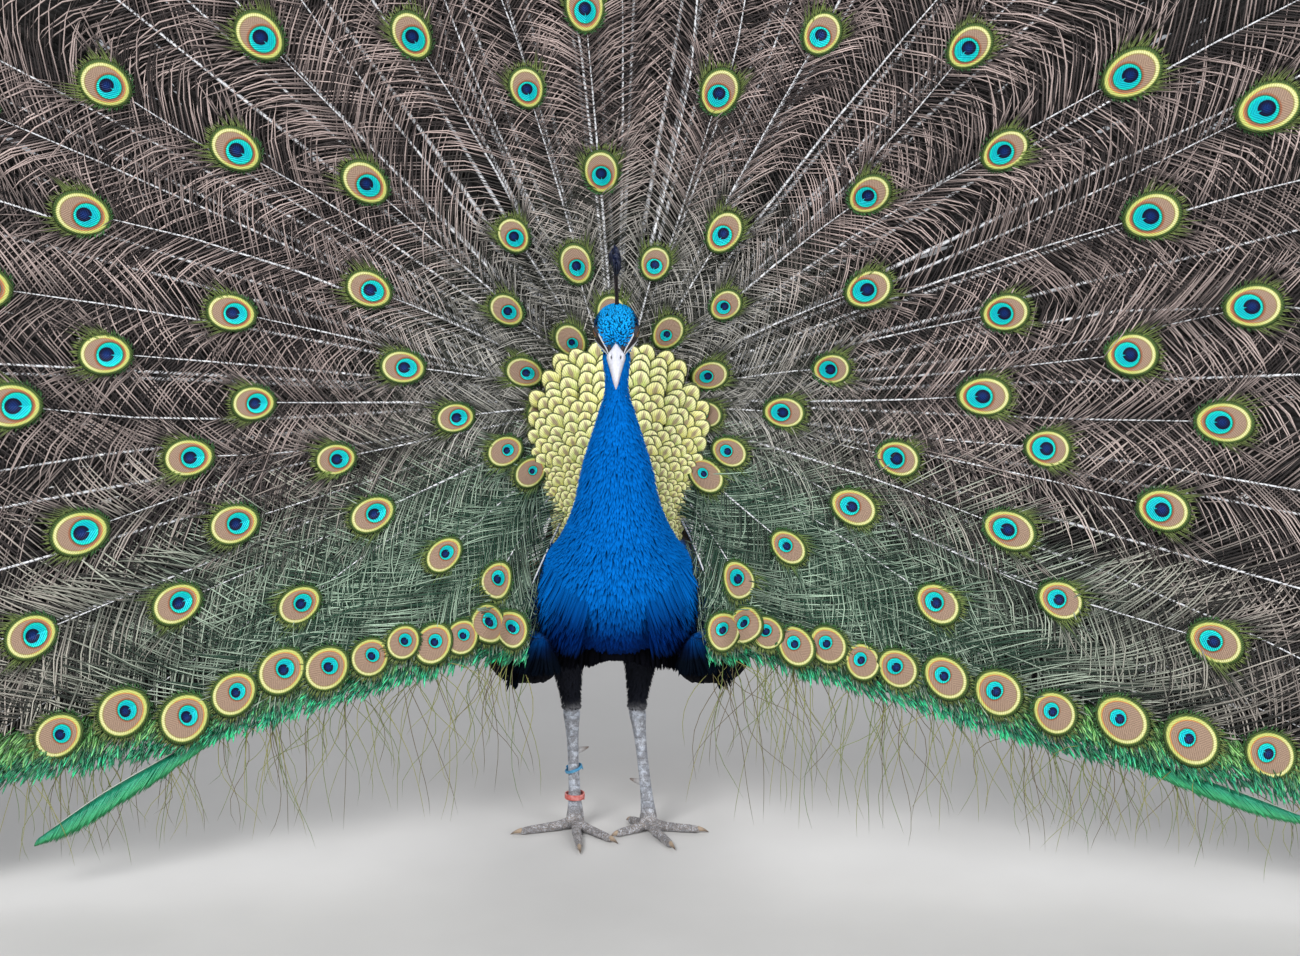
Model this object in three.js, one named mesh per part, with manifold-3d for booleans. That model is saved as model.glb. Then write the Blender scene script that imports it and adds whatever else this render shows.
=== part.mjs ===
// An Indian peacock standing in full display, life size.
// Millimetres, +Z up. The bird faces -Y, so its right side is at -X.
// While it is being built the midline is x = 0, the feet stand about y = 25 and the
// floor is a little below z = 0. The last lines move the origin to the middle of the base.
import * as THREE from 'three';
import { mergeVertices } from 'three/addons/utils/BufferGeometryUtils.js';
import Module from 'manifold-3d';

const wasm = await Module();
wasm.setup();

// ---------------------------------------------------------------- driving sizes
const gap = 0.3;                  // clearance between neighbouring pieces
const bodySides = 15;             // facets round the neck and trunk

const fanRadius = 1200;           // from the fan's centre to the tips of the longest feathers
const fanCentre = { y: 78, z: 484 };
const fanLean = 0.13;             // how far the top of the fan leans forward, per unit of radius
const fanSideLean = 0.17;         // added lean of the low side feathers
const fanDish = 0.00008;          // forward curl of the feathers, per radius squared
const vaneThickness = 0.8;        // between two feather shafts
const shaftThickness = 2.2;       // over a feather shaft
const fringeHeight = 44;          // the dense band along the fan's lower edge
const fringeThickness = 8;
const fringeGap = 1.5;            // between the fringe and the feathers above it

const floorLevel = -8;
const ankleHeight = 131;          // top of the bare shank
const soleTop = 14;               // where the shank meets the foot
const eyeRadius = 6.6;
const billLength = 47;
const crestHeight = 66;

const group = new THREE.Group();

// ---------------------------------------------------------------- shared geometry
function piece(name, geometry, colour, roughness, metalness = 0) {
  const material = new THREE.MeshStandardMaterial({ color: colour, roughness, metalness });
  const mesh = new THREE.Mesh(geometry, material);
  mesh.name = name;
  group.add(mesh);
}

// The value at position t, counted in rows, of a smooth curve through the rows.
function along(rows, t) {
  const last = rows.length - 1;
  const start = Math.min(Math.floor(t), last - 1);
  const f = t - start;
  const row = (k) => rows[Math.min(Math.max(k, 0), last)];
  const [a, b, c, d] = [row(start - 1), row(start), row(start + 1), row(start + 2)];
  return b.map((_, k) => 0.5 * (
    2 * b[k] + (c[k] - a[k]) * f
    + (2 * a[k] - 5 * b[k] + 4 * c[k] - d[k]) * f * f
    + (3 * b[k] - a[k] - 3 * c[k] + d[k]) * f ** 3));
}

function smoothStep(low, high, value) {
  const t = Math.min(Math.max((value - low) / (high - low), 0), 1);
  return t * t * (3 - 2 * t);
}

function radians(degrees) {
  return degrees * Math.PI / 180;
}

// An indexed mesh from points and triangles, with its faces turned outwards.
function outward(points, triangles) {
  let volume = 0;
  for (const [a, b, c] of triangles) {
    volume += points[a].dot(new THREE.Vector3().crossVectors(points[b], points[c]));
  }
  const faces = volume < 0 ? triangles.map(([a, b, c]) => [a, c, b]) : triangles;
  const geometry = new THREE.BufferGeometry();
  geometry.setFromPoints(points);
  geometry.setIndex(faces.flat());
  return geometry;
}

// A closed tube over rings of points, with a fan of triangles over each end.
function tube(rings) {
  const sides = rings[0].length;
  const points = rings.flat();
  const triangles = [];
  for (let i = 0; i + 1 < rings.length; i += 1) {
    for (let j = 0; j < sides; j += 1) {
      const next = (j + 1) % sides;
      const [a, b] = [i * sides + j, i * sides + next];
      triangles.push([a, b, a + sides], [b, b + sides, a + sides]);
    }
  }
  for (const end of [0, rings.length - 1]) {
    const middle = new THREE.Vector3();
    rings[end].forEach((point) => middle.addScaledVector(point, 1 / sides));
    const tip = points.push(middle) - 1;
    for (let j = 0; j < sides; j += 1) {
      const [a, b] = [end * sides + j, end * sides + (j + 1) % sides];
      triangles.push(end === 0 ? [b, a, tip] : [a, b, tip]);
    }
  }
  return outward(points, triangles);
}

// A closed plate between a front and a back point for each row and column.
function plate(rows, columns, frontAt, backAt) {
  const points = [];
  for (const at of [frontAt, backAt]) {
    for (let i = 0; i <= rows; i += 1) {
      for (let j = 0; j <= columns; j += 1) {
        points.push(at(i, j));
      }
    }
  }
  const wide = columns + 1;
  const layer = (rows + 1) * wide;
  const triangles = [];
  const quad = (a, b, c, d) => triangles.push([a, b, c], [a, c, d]);
  for (let i = 0; i < rows; i += 1) {
    for (let j = 0; j < columns; j += 1) {
      const a = i * wide + j;
      quad(a, a + 1, a + wide + 1, a + wide);
      quad(layer + a, layer + a + wide, layer + a + wide + 1, layer + a + 1);
    }
    const [left, right] = [i * wide, i * wide + columns];
    quad(left, left + wide, layer + left + wide, layer + left);
    quad(right + wide, right, layer + right, layer + right + wide);
  }
  for (let j = 0; j < columns; j += 1) {
    quad(j, layer + j, layer + j + 1, j + 1);
    const a = rows * wide + j;
    quad(a, a + 1, layer + a + 1, layer + a);
  }
  return outward(points, triangles);
}

function solid(geometry) {
  const bare = geometry.clone();
  bare.deleteAttribute('normal');
  bare.deleteAttribute('uv');
  const merged = mergeVertices(bare, 1e-4);
  return new wasm.Manifold(new wasm.Mesh({
    numProp: 3,
    vertProperties: Float32Array.from(merged.attributes.position.array),
    triVerts: Uint32Array.from(merged.index.array),
  }));
}

function meshOf(manifold) {
  const mesh = manifold.getMesh();
  const geometry = new THREE.BufferGeometry();
  const places = new Float32Array(mesh.numVert * 3);
  for (let i = 0; i < mesh.numVert; i += 1) {
    places.set(mesh.vertProperties.subarray(i * mesh.numProp, i * mesh.numProp + 3), i * 3);
  }
  geometry.setAttribute('position', new THREE.BufferAttribute(places, 3));
  geometry.setIndex(Array.from(mesh.triVerts));
  return geometry;
}

// ---------------------------------------------------------------- neck, trunk and rump
// One spine runs down the neck, turns back along the trunk and rises into the
// rump, where the train is rooted. Each row: y, z, half width, radius on the
// hollow side of the spine and radius on its outer side.
const spine = [
  [-66, 568, 19, 19, 20],
  [-61, 527, 15.5, 17, 17],
  [-57, 498, 22, 23, 24],
  [-52, 458, 33.5, 31, 34],
  [-47, 430, 40.5, 36, 40],
  [-38, 385, 50, 44, 52],
  [-22, 345, 65, 52, 72],
  [5, 308, 84, 58, 98],
  [48, 287, 91, 66, 94],
  [105, 284, 90, 72, 84],
  [158, 302, 84, 70, 88],
  [184, 350, 74, 60, 78],
  [180, 402, 64, 52, 64],
  [156, 446, 52, 44, 52],
  [124, 478, 36, 30, 34],
];
const neckSteps = 11;
const trunkSteps = 11;
const rumpSteps = 7;
const neckEnds = [0, 5.2];
const trunkEnds = [5.2, 10.6];
const rumpEnds = [10.6, spine.length - 1];

function spineFrame(t) {
  const [y, z] = along(spine, t);
  const step = 0.01;
  const last = spine.length - 1;
  const [y0, z0] = along(spine, Math.max(t - step, 0));
  const [y1, z1] = along(spine, Math.min(t + step, last));
  const length = Math.hypot(y1 - y0, z1 - z0);
  return { y, z, ty: (y1 - y0) / length, tz: (z1 - z0) / length };
}

function spineRing(t, grow, shift) {
  const [, , half, inner, outer] = along(spine, t);
  const { y, z, ty, tz } = spineFrame(t);
  const ring = [];
  for (let j = 0; j < bodySides; j += 1) {
    const angle = 2 * Math.PI * j / bodySides;
    const reach = (Math.cos(angle) > 0 ? outer : inner) + grow;
    const out = reach * Math.cos(angle);
    ring.push(new THREE.Vector3(
      (half + grow) * Math.sin(angle),
      y + out * tz + shift * ty,
      z - out * ty + shift * tz));
  }
  return ring;
}

// The stretch of the body between two places on the spine. Each end is drawn in
// by half a gap, or pushed out where the grown stretch is used for cutting.
function bodyLength([from, to], steps, grow = 0) {
  const inset = gap / 2 - grow;
  const rings = [];
  for (let i = 0; i <= steps; i += 1) {
    const shift = i === 0 ? inset : (i === steps ? -inset : 0);
    rings.push(spineRing(from + (to - from) * i / steps, grow, shift));
  }
  return tube(rings);
}

// ---------------------------------------------------------------- head
// The head is an egg along an axis that points forward and down to the bill.
// Each row: distance along the axis, half width, height above and below it.
const headCentre = { y: -78, z: 591 };
const headPitch = radians(40);
const headRows = [
  [-31, 4, 4, 4],
  [-27, 12, 12, 11],
  [-17, 20, 21, 18],
  [-3, 23.5, 25, 22],
  [9, 23, 23.5, 21.5],
  [19, 17, 18, 17],
  [27, 11.5, 12.5, 12],
  [33, 8.5, 8.5, 9],
];

function headPoint(distance, across, up) {
  return new THREE.Vector3(
    across,
    headCentre.y - distance * Math.cos(headPitch) - up * Math.sin(headPitch),
    headCentre.z - distance * Math.sin(headPitch) + up * Math.cos(headPitch));
}

function headShell(grow) {
  const rings = [];
  const steps = 11;
  const sides = 14;
  for (let i = 0; i <= steps; i += 1) {
    const [distance, half, above, below] = along(headRows, (headRows.length - 1) * i / steps);
    const stretch = 1 + grow / headRows[3][1];
    const ring = [];
    for (let j = 0; j < sides; j += 1) {
      const angle = 2 * Math.PI * j / sides;
      const reach = Math.cos(angle) > 0 ? above : below;
      ring.push(headPoint(distance * stretch, (half + grow) * Math.sin(angle), (reach + grow) * Math.cos(angle)));
    }
    rings.push(ring);
  }
  return tube(rings);
}

function ball(centre, radius) {
  const geometry = new THREE.SphereGeometry(radius, 12, 7);
  geometry.translate(centre.x, centre.y, centre.z);
  return geometry;
}

// An eye sits a little ahead of the middle of the head, above the line of the gape.
const eyeForward = 7;
const eyeUp = 6;
const eyeOut = 18.5;
const headGrown = solid(headShell(gap));
let headSolid = solid(headShell(0));
for (const [name, side] of [['eye_right', -1], ['eye_left', 1]]) {
  const centre = headPoint(eyeForward, side * eyeOut, eyeUp);
  headSolid = headSolid.subtract(solid(ball(centre, eyeRadius + gap)));
  piece(name, ball(centre, eyeRadius), 0x2a1208, 0.08);
}

// ---------------------------------------------------------------- bill
// Two horn sheaths. The upper one curves down over the tip of the lower one.
function billHalf(rows, upper) {
  const sides = 8;
  const steps = 7;
  const rings = [];
  for (let i = 0; i <= steps; i += 1) {
    const [distance, drop, half, height] = along(rows, (rows.length - 1) * i / steps);
    const ring = [];
    for (let j = 0; j < sides; j += 1) {
      const angle = Math.PI * j / (sides - 1);
      const lift = Math.sin(angle) * height * (upper ? 1 : -1);
      ring.push(headPoint(distance, half * Math.cos(angle), lift - drop));
    }
    rings.push(ring);
  }
  return tube(rings);
}

const billStart = 33.5;           // just clear of the face, along the head's axis
const upperBill = [
  [billStart, 0.2, 7.6, 8],
  [billStart + 0.3 * billLength, 0.8, 6.4, 8],
  [billStart + 0.6 * billLength, 2.2, 4.8, 6.6],
  [billStart + 0.85 * billLength, 5.5, 2.8, 4.6],
  [billStart + billLength, 11, 0.7, 1.2],
];
const lowerBill = [
  [billStart, 0.2 + gap, 7, 5.4],
  [billStart + 0.3 * billLength, 0.8 + gap, 5.6, 4.8],
  [billStart + 0.6 * billLength, 2.2 + gap, 4, 3.8],
  [billStart + 0.82 * billLength, 5 + gap, 1.4, 2],
];
piece('bill_upper', billHalf(upperBill, true), 0xb9b3a8, 0.35);
piece('bill_lower', billHalf(lowerBill, false), 0xa8a298, 0.4);

// ---------------------------------------------------------------- crest
// A flat fan of bare shafts with a spatulate tip each, standing along the midline.
const crestFoot = { y: -74, z: 612 };
const crestTips = 6;
const crestSpread = radians(32);
const crestRows = [
  [0, 1.6],
  [0.5, 0.6],
  [0.64, 0.9],
  [0.78, 3],
  [0.92, 3],
  [1, 0.6],
];

function crestPoint(i, j, side) {
  const perTip = 2;
  const [reach, halfThick] = crestRows[i];
  const valley = j % perTip === 0 && i > 2;
  const angle = crestSpread * (2 * j / (crestTips * perTip) - 1);
  const radius = crestHeight * reach * (valley ? 0.9 : 1) + 4;
  return new THREE.Vector3(
    side * halfThick * (valley ? 0.4 : 1),
    crestFoot.y + radius * Math.sin(angle),
    crestFoot.z + radius * Math.cos(angle));
}
const crestPlate = plate(crestRows.length - 1, crestTips * 2,
  (i, j) => crestPoint(i, j, -1), (i, j) => crestPoint(i, j, 1));
piece('crest', meshOf(solid(crestPlate).subtract(headGrown)), 0x10204a, 0.6);
piece('head', meshOf(headSolid), 0x0f56b8, 0.55);

const neckSolid = solid(bodyLength(neckEnds, neckSteps)).subtract(headGrown);
piece('neck', meshOf(neckSolid), 0x0b3fae, 0.55);
piece('trunk', bodyLength(trunkEnds, trunkSteps), 0x0a2a5c, 0.7);
piece('rump', bodyLength(rumpEnds, rumpSteps), 0x3a342c, 0.85);

const bodyGrown = solid(bodyLength(neckEnds, neckSteps, gap))
  .add(solid(bodyLength(trunkEnds, trunkSteps, gap)))
  .add(solid(bodyLength(rumpEnds, rumpSteps, gap)));

// ---------------------------------------------------------------- wings
// The folded wings droop along the flanks. Each row: y, middle height, half
// height, inner and outer distance from the midline.
const wingRows = [
  [-66, 238, 10, 74, 90],
  [-36, 216, 30, 66, 124],
  [12, 207, 36, 60, 150],
  [74, 216, 54, 58, 150],
  [145, 212, 66, 60, 134],
  [205, 188, 64, 74, 116],
  [262, 154, 50, 84, 94],
  [305, 122, 24, 76, 78],
];

const wingSquareness = 0.6;       // of the lower edge

function wing(side) {
  const steps = 11;
  const sides = 10;
  const rings = [];
  for (let i = 0; i <= steps; i += 1) {
    const [y, middle, half, near, far] = along(wingRows, (wingRows.length - 1) * i / steps);
    const ring = [];
    for (let j = 0; j < sides; j += 1) {
      const angle = 2 * Math.PI * j / sides;
      const lobe = Math.cos(angle);
      const squared = Math.sin(angle) < 0 ? Math.sign(lobe) * Math.abs(lobe) ** wingSquareness : lobe;
      const out = (near + far) / 2 + (far - near) / 2 * squared;
      ring.push(new THREE.Vector3(side * out, y, middle + half * Math.sin(angle)));
    }
    rings.push(ring);
  }
  return tube(rings);
}

// ---------------------------------------------------------------- legs
// Each leg: where the thigh enters the body, the ankle and the middle of the
// foot, and the direction (degrees from straight ahead, to the bird's left) and
// length of each toe.
const legs = {
  right: {
    side: -1,
    hip: { x: -64, y: 44 },
    ankle: { x: -54, y: 48 },
    foot: { x: -50, y: 28 },
    toes: { outer: [-70, 78], middle: [5, 90], inner: [41, 76], hind: [168, 36] },
  },
  left: {
    side: 1,
    hip: { x: 30, y: 46 },
    ankle: { x: 21, y: 46 },
    foot: { x: 34, y: 22 },
    toes: { outer: [80, 70], middle: [23, 78], inner: [-56, 52], hind: [222, 38] },
  },
};

// Each row: height, share of the way from ankle to hip, half width and half depth.
const thighRows = [
  [ankleHeight + gap, 0, 10.5, 11],
  [138, 0.06, 11, 13],
  [155, 0.2, 13, 16],
  [182, 0.45, 18, 24],
  [210, 0.7, 27, 36],
  [250, 1, 33, 42],
];

function ovalRing(x, y, z, half, depth, sides) {
  const ring = [];
  for (let j = 0; j < sides; j += 1) {
    const angle = 2 * Math.PI * j / sides;
    ring.push(new THREE.Vector3(x + half * Math.cos(angle), y + depth * Math.sin(angle), z));
  }
  return ring;
}

function thigh(leg, grow = 0) {
  const steps = 7;
  const rings = [];
  for (let i = 0; i <= steps; i += 1) {
    const [z, share, half, depth] = along(thighRows, (thighRows.length - 1) * i / steps);
    const x = leg.ankle.x + share * (leg.hip.x - leg.ankle.x);
    const y = leg.ankle.y + share * (leg.hip.y - leg.ankle.y);
    rings.push(ovalRing(x, y, z, half + grow, depth + grow, 12));
  }
  return tube(rings);
}

// Each row: height, half width and half depth of the bare shank.
const shankRows = [
  [soleTop + gap, 8.6, 9.2],
  [26, 7.4, 8.2],
  [52, 6.4, 7.6],
  [87, 6.5, 7.8],
  [110, 8, 9],
  [122, 9.6, 10.6],
  [ankleHeight, 9.2, 10],
];

function shankCentre(leg, z) {
  const share = (z - soleTop) / (ankleHeight - soleTop);
  return {
    x: leg.foot.x + share * (leg.ankle.x - leg.foot.x),
    y: leg.foot.y + 4 + share * (leg.ankle.y - leg.foot.y - 4),
  };
}

function shank(leg, grow) {
  const steps = 9;
  const rings = [];
  for (let i = 0; i <= steps; i += 1) {
    const [z, half, depth] = along(shankRows, (shankRows.length - 1) * i / steps);
    const { x, y } = shankCentre(leg, z);
    rings.push(ovalRing(x, y, z, half + grow, depth + grow, 10));
  }
  return tube(rings);
}

// A toe runs out from the middle of the foot, padded below, its sole flat on
// the floor. Each row: share of the length, height of its middle above the
// floor, half width and half height.
const toeRows = [
  [0, 9, 6.5, 8],
  [0.2, 6.5, 5, 6.4],
  [0.36, 4.6, 5.6, 6],
  [0.5, 4.6, 4.6, 5.6],
  [0.64, 4.2, 5, 5.2],
  [0.8, 4.2, 4, 5],
  [0.92, 3.6, 4.1, 4.6],
  [1, 3.4, 2.8, 3],
];
const clawShare = 0.16;           // of a toe's length, from its tip
const lowestClaw = 1.2;

function toePoint(foot, direction, distance, across, z) {
  return new THREE.Vector3(
    foot.x + distance * Math.sin(direction) + across * Math.cos(direction),
    foot.y - distance * Math.cos(direction) + across * Math.sin(direction),
    z);
}

function toe(foot, [degrees, length]) {
  const direction = radians(degrees);
  const reach = length * (1 - clawShare);
  const steps = 7;
  const sides = 6;
  const rings = [];
  for (let i = 0; i <= steps; i += 1) {
    const [share, middle, half, height] = along(toeRows, (toeRows.length - 1) * i / steps);
    const ring = [];
    for (let j = 0; j < sides; j += 1) {
      const angle = 2 * Math.PI * j / sides;
      const z = Math.max(middle + height * Math.sin(angle), 0) + floorLevel;
      ring.push(toePoint(foot, direction, share * reach, half * Math.cos(angle), z));
    }
    rings.push(ring);
  }
  return tube(rings);
}

function claw(foot, [degrees, length]) {
  const direction = radians(degrees);
  const steps = 3;
  const sides = 5;
  const rings = [];
  for (let i = 0; i <= steps; i += 1) {
    const share = i / steps;
    const distance = length * (1 - clawShare) + gap + share * length * clawShare;
    const radius = 2.7 * (1 - share) + 0.4;
    const middle = 4.6 - (4.6 - lowestClaw - 0.4) * share * share;
    const ring = [];
    for (let j = 0; j < sides; j += 1) {
      const angle = 2 * Math.PI * j / sides;
      const z = middle + radius * Math.sin(angle) + floorLevel;
      ring.push(toePoint(foot, direction, distance, radius * 0.8 * Math.cos(angle), z));
    }
    rings.push(ring);
  }
  return tube(rings);
}

function foot(leg) {
  const hub = tube([
    ovalRing(leg.foot.x, leg.foot.y, floorLevel + 3, 7, 8, 10),
    ovalRing(leg.foot.x, leg.foot.y + 1, floorLevel + 9, 10.5, 10.5, 10),
    ovalRing(leg.foot.x, leg.foot.y + 3, floorLevel + 16, 10, 10.5, 10),
    ovalRing(leg.foot.x, leg.foot.y + 4, soleTop, 8.6, 9.2, 10),
  ]);
  let whole = solid(hub);
  for (const toeSizes of Object.values(leg.toes)) {
    whole = whole.add(solid(toe(leg.foot, toeSizes)));
  }
  return meshOf(whole);
}

// The spur points inwards and back from the rear edge of the shank.
const spurLength = 17;
const spurRadius = 4.6;

function spur(leg, z) {
  const { x, y } = shankCentre(leg, z);
  const steps = 4;
  const sides = 7;
  const rings = [];
  for (let i = 0; i <= steps; i += 1) {
    const share = i / steps;
    const out = 3 + share * (spurLength + 4);
    const ring = [];
    for (let j = 0; j < sides; j += 1) {
      const angle = 2 * Math.PI * j / sides;
      const radius = (spurRadius - 0.5) * (1 - share) + 0.5;
      ring.push(new THREE.Vector3(
        x - leg.side * out + 0.3 * radius * Math.cos(angle),
        y + 3 + out * 0.35 + radius * Math.cos(angle),
        z + 2 * share * share + radius * Math.sin(angle)));
    }
    rings.push(ring);
  }
  return meshOf(solid(tube(rings)).subtract(solid(shank(leg, gap))));
}

const spurHeights = { right: 80, left: 45 };
const legColour = 0xb4aea4;
for (const [name, leg] of Object.entries(legs)) {
  const thighSolid = solid(thigh(leg)).subtract(bodyGrown);
  const wingSolid = solid(wing(leg.side)).subtract(bodyGrown).subtract(solid(thigh(leg, gap)));
  piece(`wing_${name}`, meshOf(wingSolid), 0x2c231c, 0.8);
  piece(`thigh_${name}`, meshOf(thighSolid), 0x0b0b0f, 0.9);
  piece(`shank_${name}`, shank(leg, 0), legColour, 0.55);
  piece(`foot_${name}`, foot(leg), legColour, 0.6);
  piece(`spur_${name}`, spur(leg, spurHeights[name]), 0xc9c4b4, 0.45);
  for (const [toeName, toeSizes] of Object.entries(leg.toes)) {
    piece(`claw_${name}_${toeName}`, claw(leg.foot, toeSizes), 0x5d4a38, 0.4);
  }
}

// ---------------------------------------------------------------- leg rings
// Two loose plastic rings round the right shank, the upper one hanging askew.
function legRing(z, inner, wall, height, tilt) {
  const profile = [[0, 0], [wall, 0], [wall, height], [0, height], [0, 0]]
    .map(([r, h]) => new THREE.Vector2(inner + r, h - height / 2));
  const ring = new THREE.LatheGeometry(profile, 14);
  ring.rotateX(Math.PI / 2);
  ring.rotateY(tilt);
  const { x, y } = shankCentre(legs.right, z);
  ring.translate(x, y, z);
  return ring;
}
piece('leg_ring_blue', legRing(60, 9.4, 1.3, 5, radians(-16)), 0x2c7fb0, 0.45);
piece('leg_ring_red', legRing(29, 9.8, 1.8, 8.5, radians(3)), 0xc4514a, 0.45);

// ---------------------------------------------------------------- back shield
// The golden scale feathers of the upper back stand up behind the neck in a
// rounded plate. Each row: height, middle y, half width, backward curl of its edges.
const shieldThickness = 9;
const shieldRows = [
  [322, 26, 58, 8],
  [360, 25, 70, 10],
  [410, 25, 80, 12],
  [460, 27, 86, 14],
  [510, 31, 87, 14],
  [548, 33, 72, 12],
  [574, 33, 48, 8],
];

const shieldSteps = 8;
const shieldColumns = 8;

function shieldPoint(i, j, depth) {
  const [z, y, half, curl] = along(shieldRows, (shieldRows.length - 1) * i / shieldSteps);
  const share = 2 * j / shieldColumns - 1;
  const crown = i === shieldSteps ? -10 * share * share : 0;
  const edge = 0.35 + 0.65 * (1 - share ** 4);
  return new THREE.Vector3(half * share, y + curl * share * share + depth * edge, z + crown);
}
const shieldPlate = plate(shieldSteps, shieldColumns,
  (i, j) => shieldPoint(i, j, -shieldThickness / 2),
  (i, j) => shieldPoint(i, j, shieldThickness / 2));
piece('back_shield', meshOf(solid(shieldPlate).subtract(bodyGrown)), 0xb3b34a, 0.5, 0.2);

// ---------------------------------------------------------------- the fan
// The fan is a shallow dish that leans forward. A place on it is its distance
// from the fan's centre and its angle from straight up, positive to +X.
function fanY(distance, angle) {
  const turn = smoothStep(60, 140, Math.abs(angle) * 180 / Math.PI);
  const lean = fanLean + fanSideLean * turn;
  return fanCentre.y - lean * distance - fanDish * distance * distance;
}

function fanPoint(distance, angle, sideways, depth) {
  return new THREE.Vector3(
    distance * Math.sin(angle) + sideways * Math.cos(angle),
    fanY(distance, angle) + depth,
    fanCentre.z + distance * Math.cos(angle) - sideways * Math.sin(angle));
}

// The lowest feathers end along a line that falls gently outwards from the flanks.
const lowEdgeInner = 96;          // distance from the midline where the line starts
const lowEdgeOuter = 1092;
const lowSectorEnds = [1080, 99]; // just inside both, clear of the neighbouring pieces
function lowEdge(across) {
  return 255 - 0.205 * across + 30 * Math.exp(-(across - lowEdgeInner) / 30);
}

// A radial sector of whole feathers, thick over each shaft and round at each tip.
const facetsPerFeather = 3;
const feathersPerSector = 5;
const sectorEdges = [0, 22.1, 44.2, 66.3, 88.4, 110.5].map(radians);
const sectorStart = 62;
const flankClearance = 93;        // the low feathers pass outside the flank
const tipDepth = 34;

function ridge(j) {
  return 0.5 - 0.5 * Math.cos(2 * Math.PI * j / facetsPerFeather);
}

function sector(from, to, side) {
  const columns = feathersPerSector * facetsPerFeather;
  const rows = 2;
  const at = (i, j, face) => {
    const angle = side * (from + (to - from) * j / columns);
    const end = fanRadius - tipDepth * (1 - Math.sqrt(ridge(j)));
    const distance = sectorStart + (end - sectorStart) * i / rows;
    const thick = vaneThickness + (shaftThickness - vaneThickness) * ridge(j);
    const slip = j === 0 ? gap / 2 : (j === columns ? -gap / 2 : 0);
    return fanPoint(distance, angle, side * slip, face * thick / 2);
  };
  return plate(rows, columns, (i, j) => at(i, j, -1), (i, j) => at(i, j, 1));
}

// The low side of the fan, between the last full sector and the fringe.
function lowSector(side) {
  const columns = 18;
  const rows = 3;
  const at = (i, j, face) => {
    const share = j / columns;
    const across = lowSectorEnds[0] + (lowSectorEnds[1] - lowSectorEnds[0]) * share;
    const height = lowEdge(across) + fringeHeight + fringeGap;
    const angle = Math.atan2(across, height - fanCentre.z);
    const distance = Math.hypot(across, height - fanCentre.z);
    const start = flankClearance / Math.sin(angle);
    const thick = vaneThickness + (shaftThickness - vaneThickness) * ridge(j);
    const slip = j === 0 ? gap : 0;
    const reach = start + (distance - start) * i / rows;
    return fanPoint(reach, side * angle, side * slip, face * thick / 2);
  };
  return plate(rows, columns, (i, j) => at(i, j, -1), (i, j) => at(i, j, 1));
}

// The fringe: short feathers packed into one band along the low edge.
function fringe(side) {
  const columns = 27;
  const rows = 2;
  const at = (i, j, face) => {
    const across = lowEdgeInner + (lowEdgeOuter - lowEdgeInner) * j / columns;
    const scallop = i === 0 ? 6 * (1 - ridge(j)) : 0;
    const height = lowEdge(across) + scallop + fringeHeight * i / rows;
    const angle = Math.atan2(across, height - fanCentre.z);
    const distance = Math.hypot(across, height - fanCentre.z);
    const swell = Math.sin(Math.PI * (i + 0.5) / (rows + 1));
    return fanPoint(distance, side * angle, 0, face * fringeThickness / 2 * swell);
  };
  return plate(rows, columns, (i, j) => at(i, j, -1), (i, j) => at(i, j, 1));
}

// The longest sword feather of each side hangs below the fringe, its vane on
// the lower side only. Each row: distance from the midline, drop below the low
// edge and width of the vane.
const swordRows = {
  right: [[395, 4, 8], [440, 12, 18], [500, 28, 27], [560, 46, 27], [622, 72, 6]],
  left: [[520, 4, 8], [575, 6, 20], [625, 8, 24], [680, 12, 20], [740, 18, 6]],
};

function sword(name, side) {
  const steps = 8;
  const at = (i, j, face) => {
    const [across, drop, width] = along(swordRows[name], (swordRows[name].length - 1) * i / steps);
    const height = lowEdge(across) - drop - width * j / 2;
    const angle = Math.atan2(across, height - fanCentre.z);
    const distance = Math.hypot(across, height - fanCentre.z);
    return fanPoint(distance, side * angle, 0, face * (j === 0 ? 1.4 : 0.5));
  };
  return plate(steps, 2, (i, j) => at(i, j, -1), (i, j) => at(i, j, 1));
}

const trainColours = [0x4a3b33, 0x4c4034, 0x4a4432, 0x44482f, 0x3c4a30];
for (const [name, side] of [['right', -1], ['left', 1]]) {
  for (let k = 0; k + 1 < sectorEdges.length; k += 1) {
    const shape = sector(sectorEdges[k], sectorEdges[k + 1], side);
    piece(`train_${name}_${k + 1}`, shape, trainColours[k], 0.7);
  }
  piece(`train_${name}_6`, lowSector(side), 0x2f5a34, 0.7);
  piece(`train_fringe_${name}`, fringe(side), 0x1c6a44, 0.5, 0.2);
  piece(`sword_feather_${name}`, sword(name, side), 0x178a5a, 0.45, 0.2);
}

// ---------------------------------------------------------------- tail
// Twenty stiff tail feathers stand behind the train and prop it up.
const tailFeathers = 20;
const tailRadius = 440;
const tailStart = 64;
const tailSpread = radians(104);
const tailBehind = 34;

const tailSteps = 1;

function tailPoint(i, j, face) {
  const columns = tailFeathers * 2;
  const angle = tailSpread * (2 * j / columns - 1);
  const valley = j % 2 === 0;
  const end = tailRadius - (valley ? 22 : 0);
  const distance = tailStart + (end - tailStart) * i / tailSteps;
  const pleat = valley ? 2 : -2;
  const thick = valley ? 1 : 2.4;
  return fanPoint(distance, angle, 0, tailBehind + pleat + face * thick / 2);
}
const tailPlate = plate(tailSteps, tailFeathers * 2,
  (i, j) => tailPoint(i, j, -1), (i, j) => tailPoint(i, j, 1));
piece('tail', tailPlate, 0x6a5c4c, 0.8);

// ---------------------------------------------------------------- origin
const box = new THREE.Box3().setFromObject(group);
const middle = box.getCenter(new THREE.Vector3());
for (const mesh of group.children) {
  mesh.geometry.translate(-middle.x, -middle.y, -box.min.z);
}

export default group;
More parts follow.
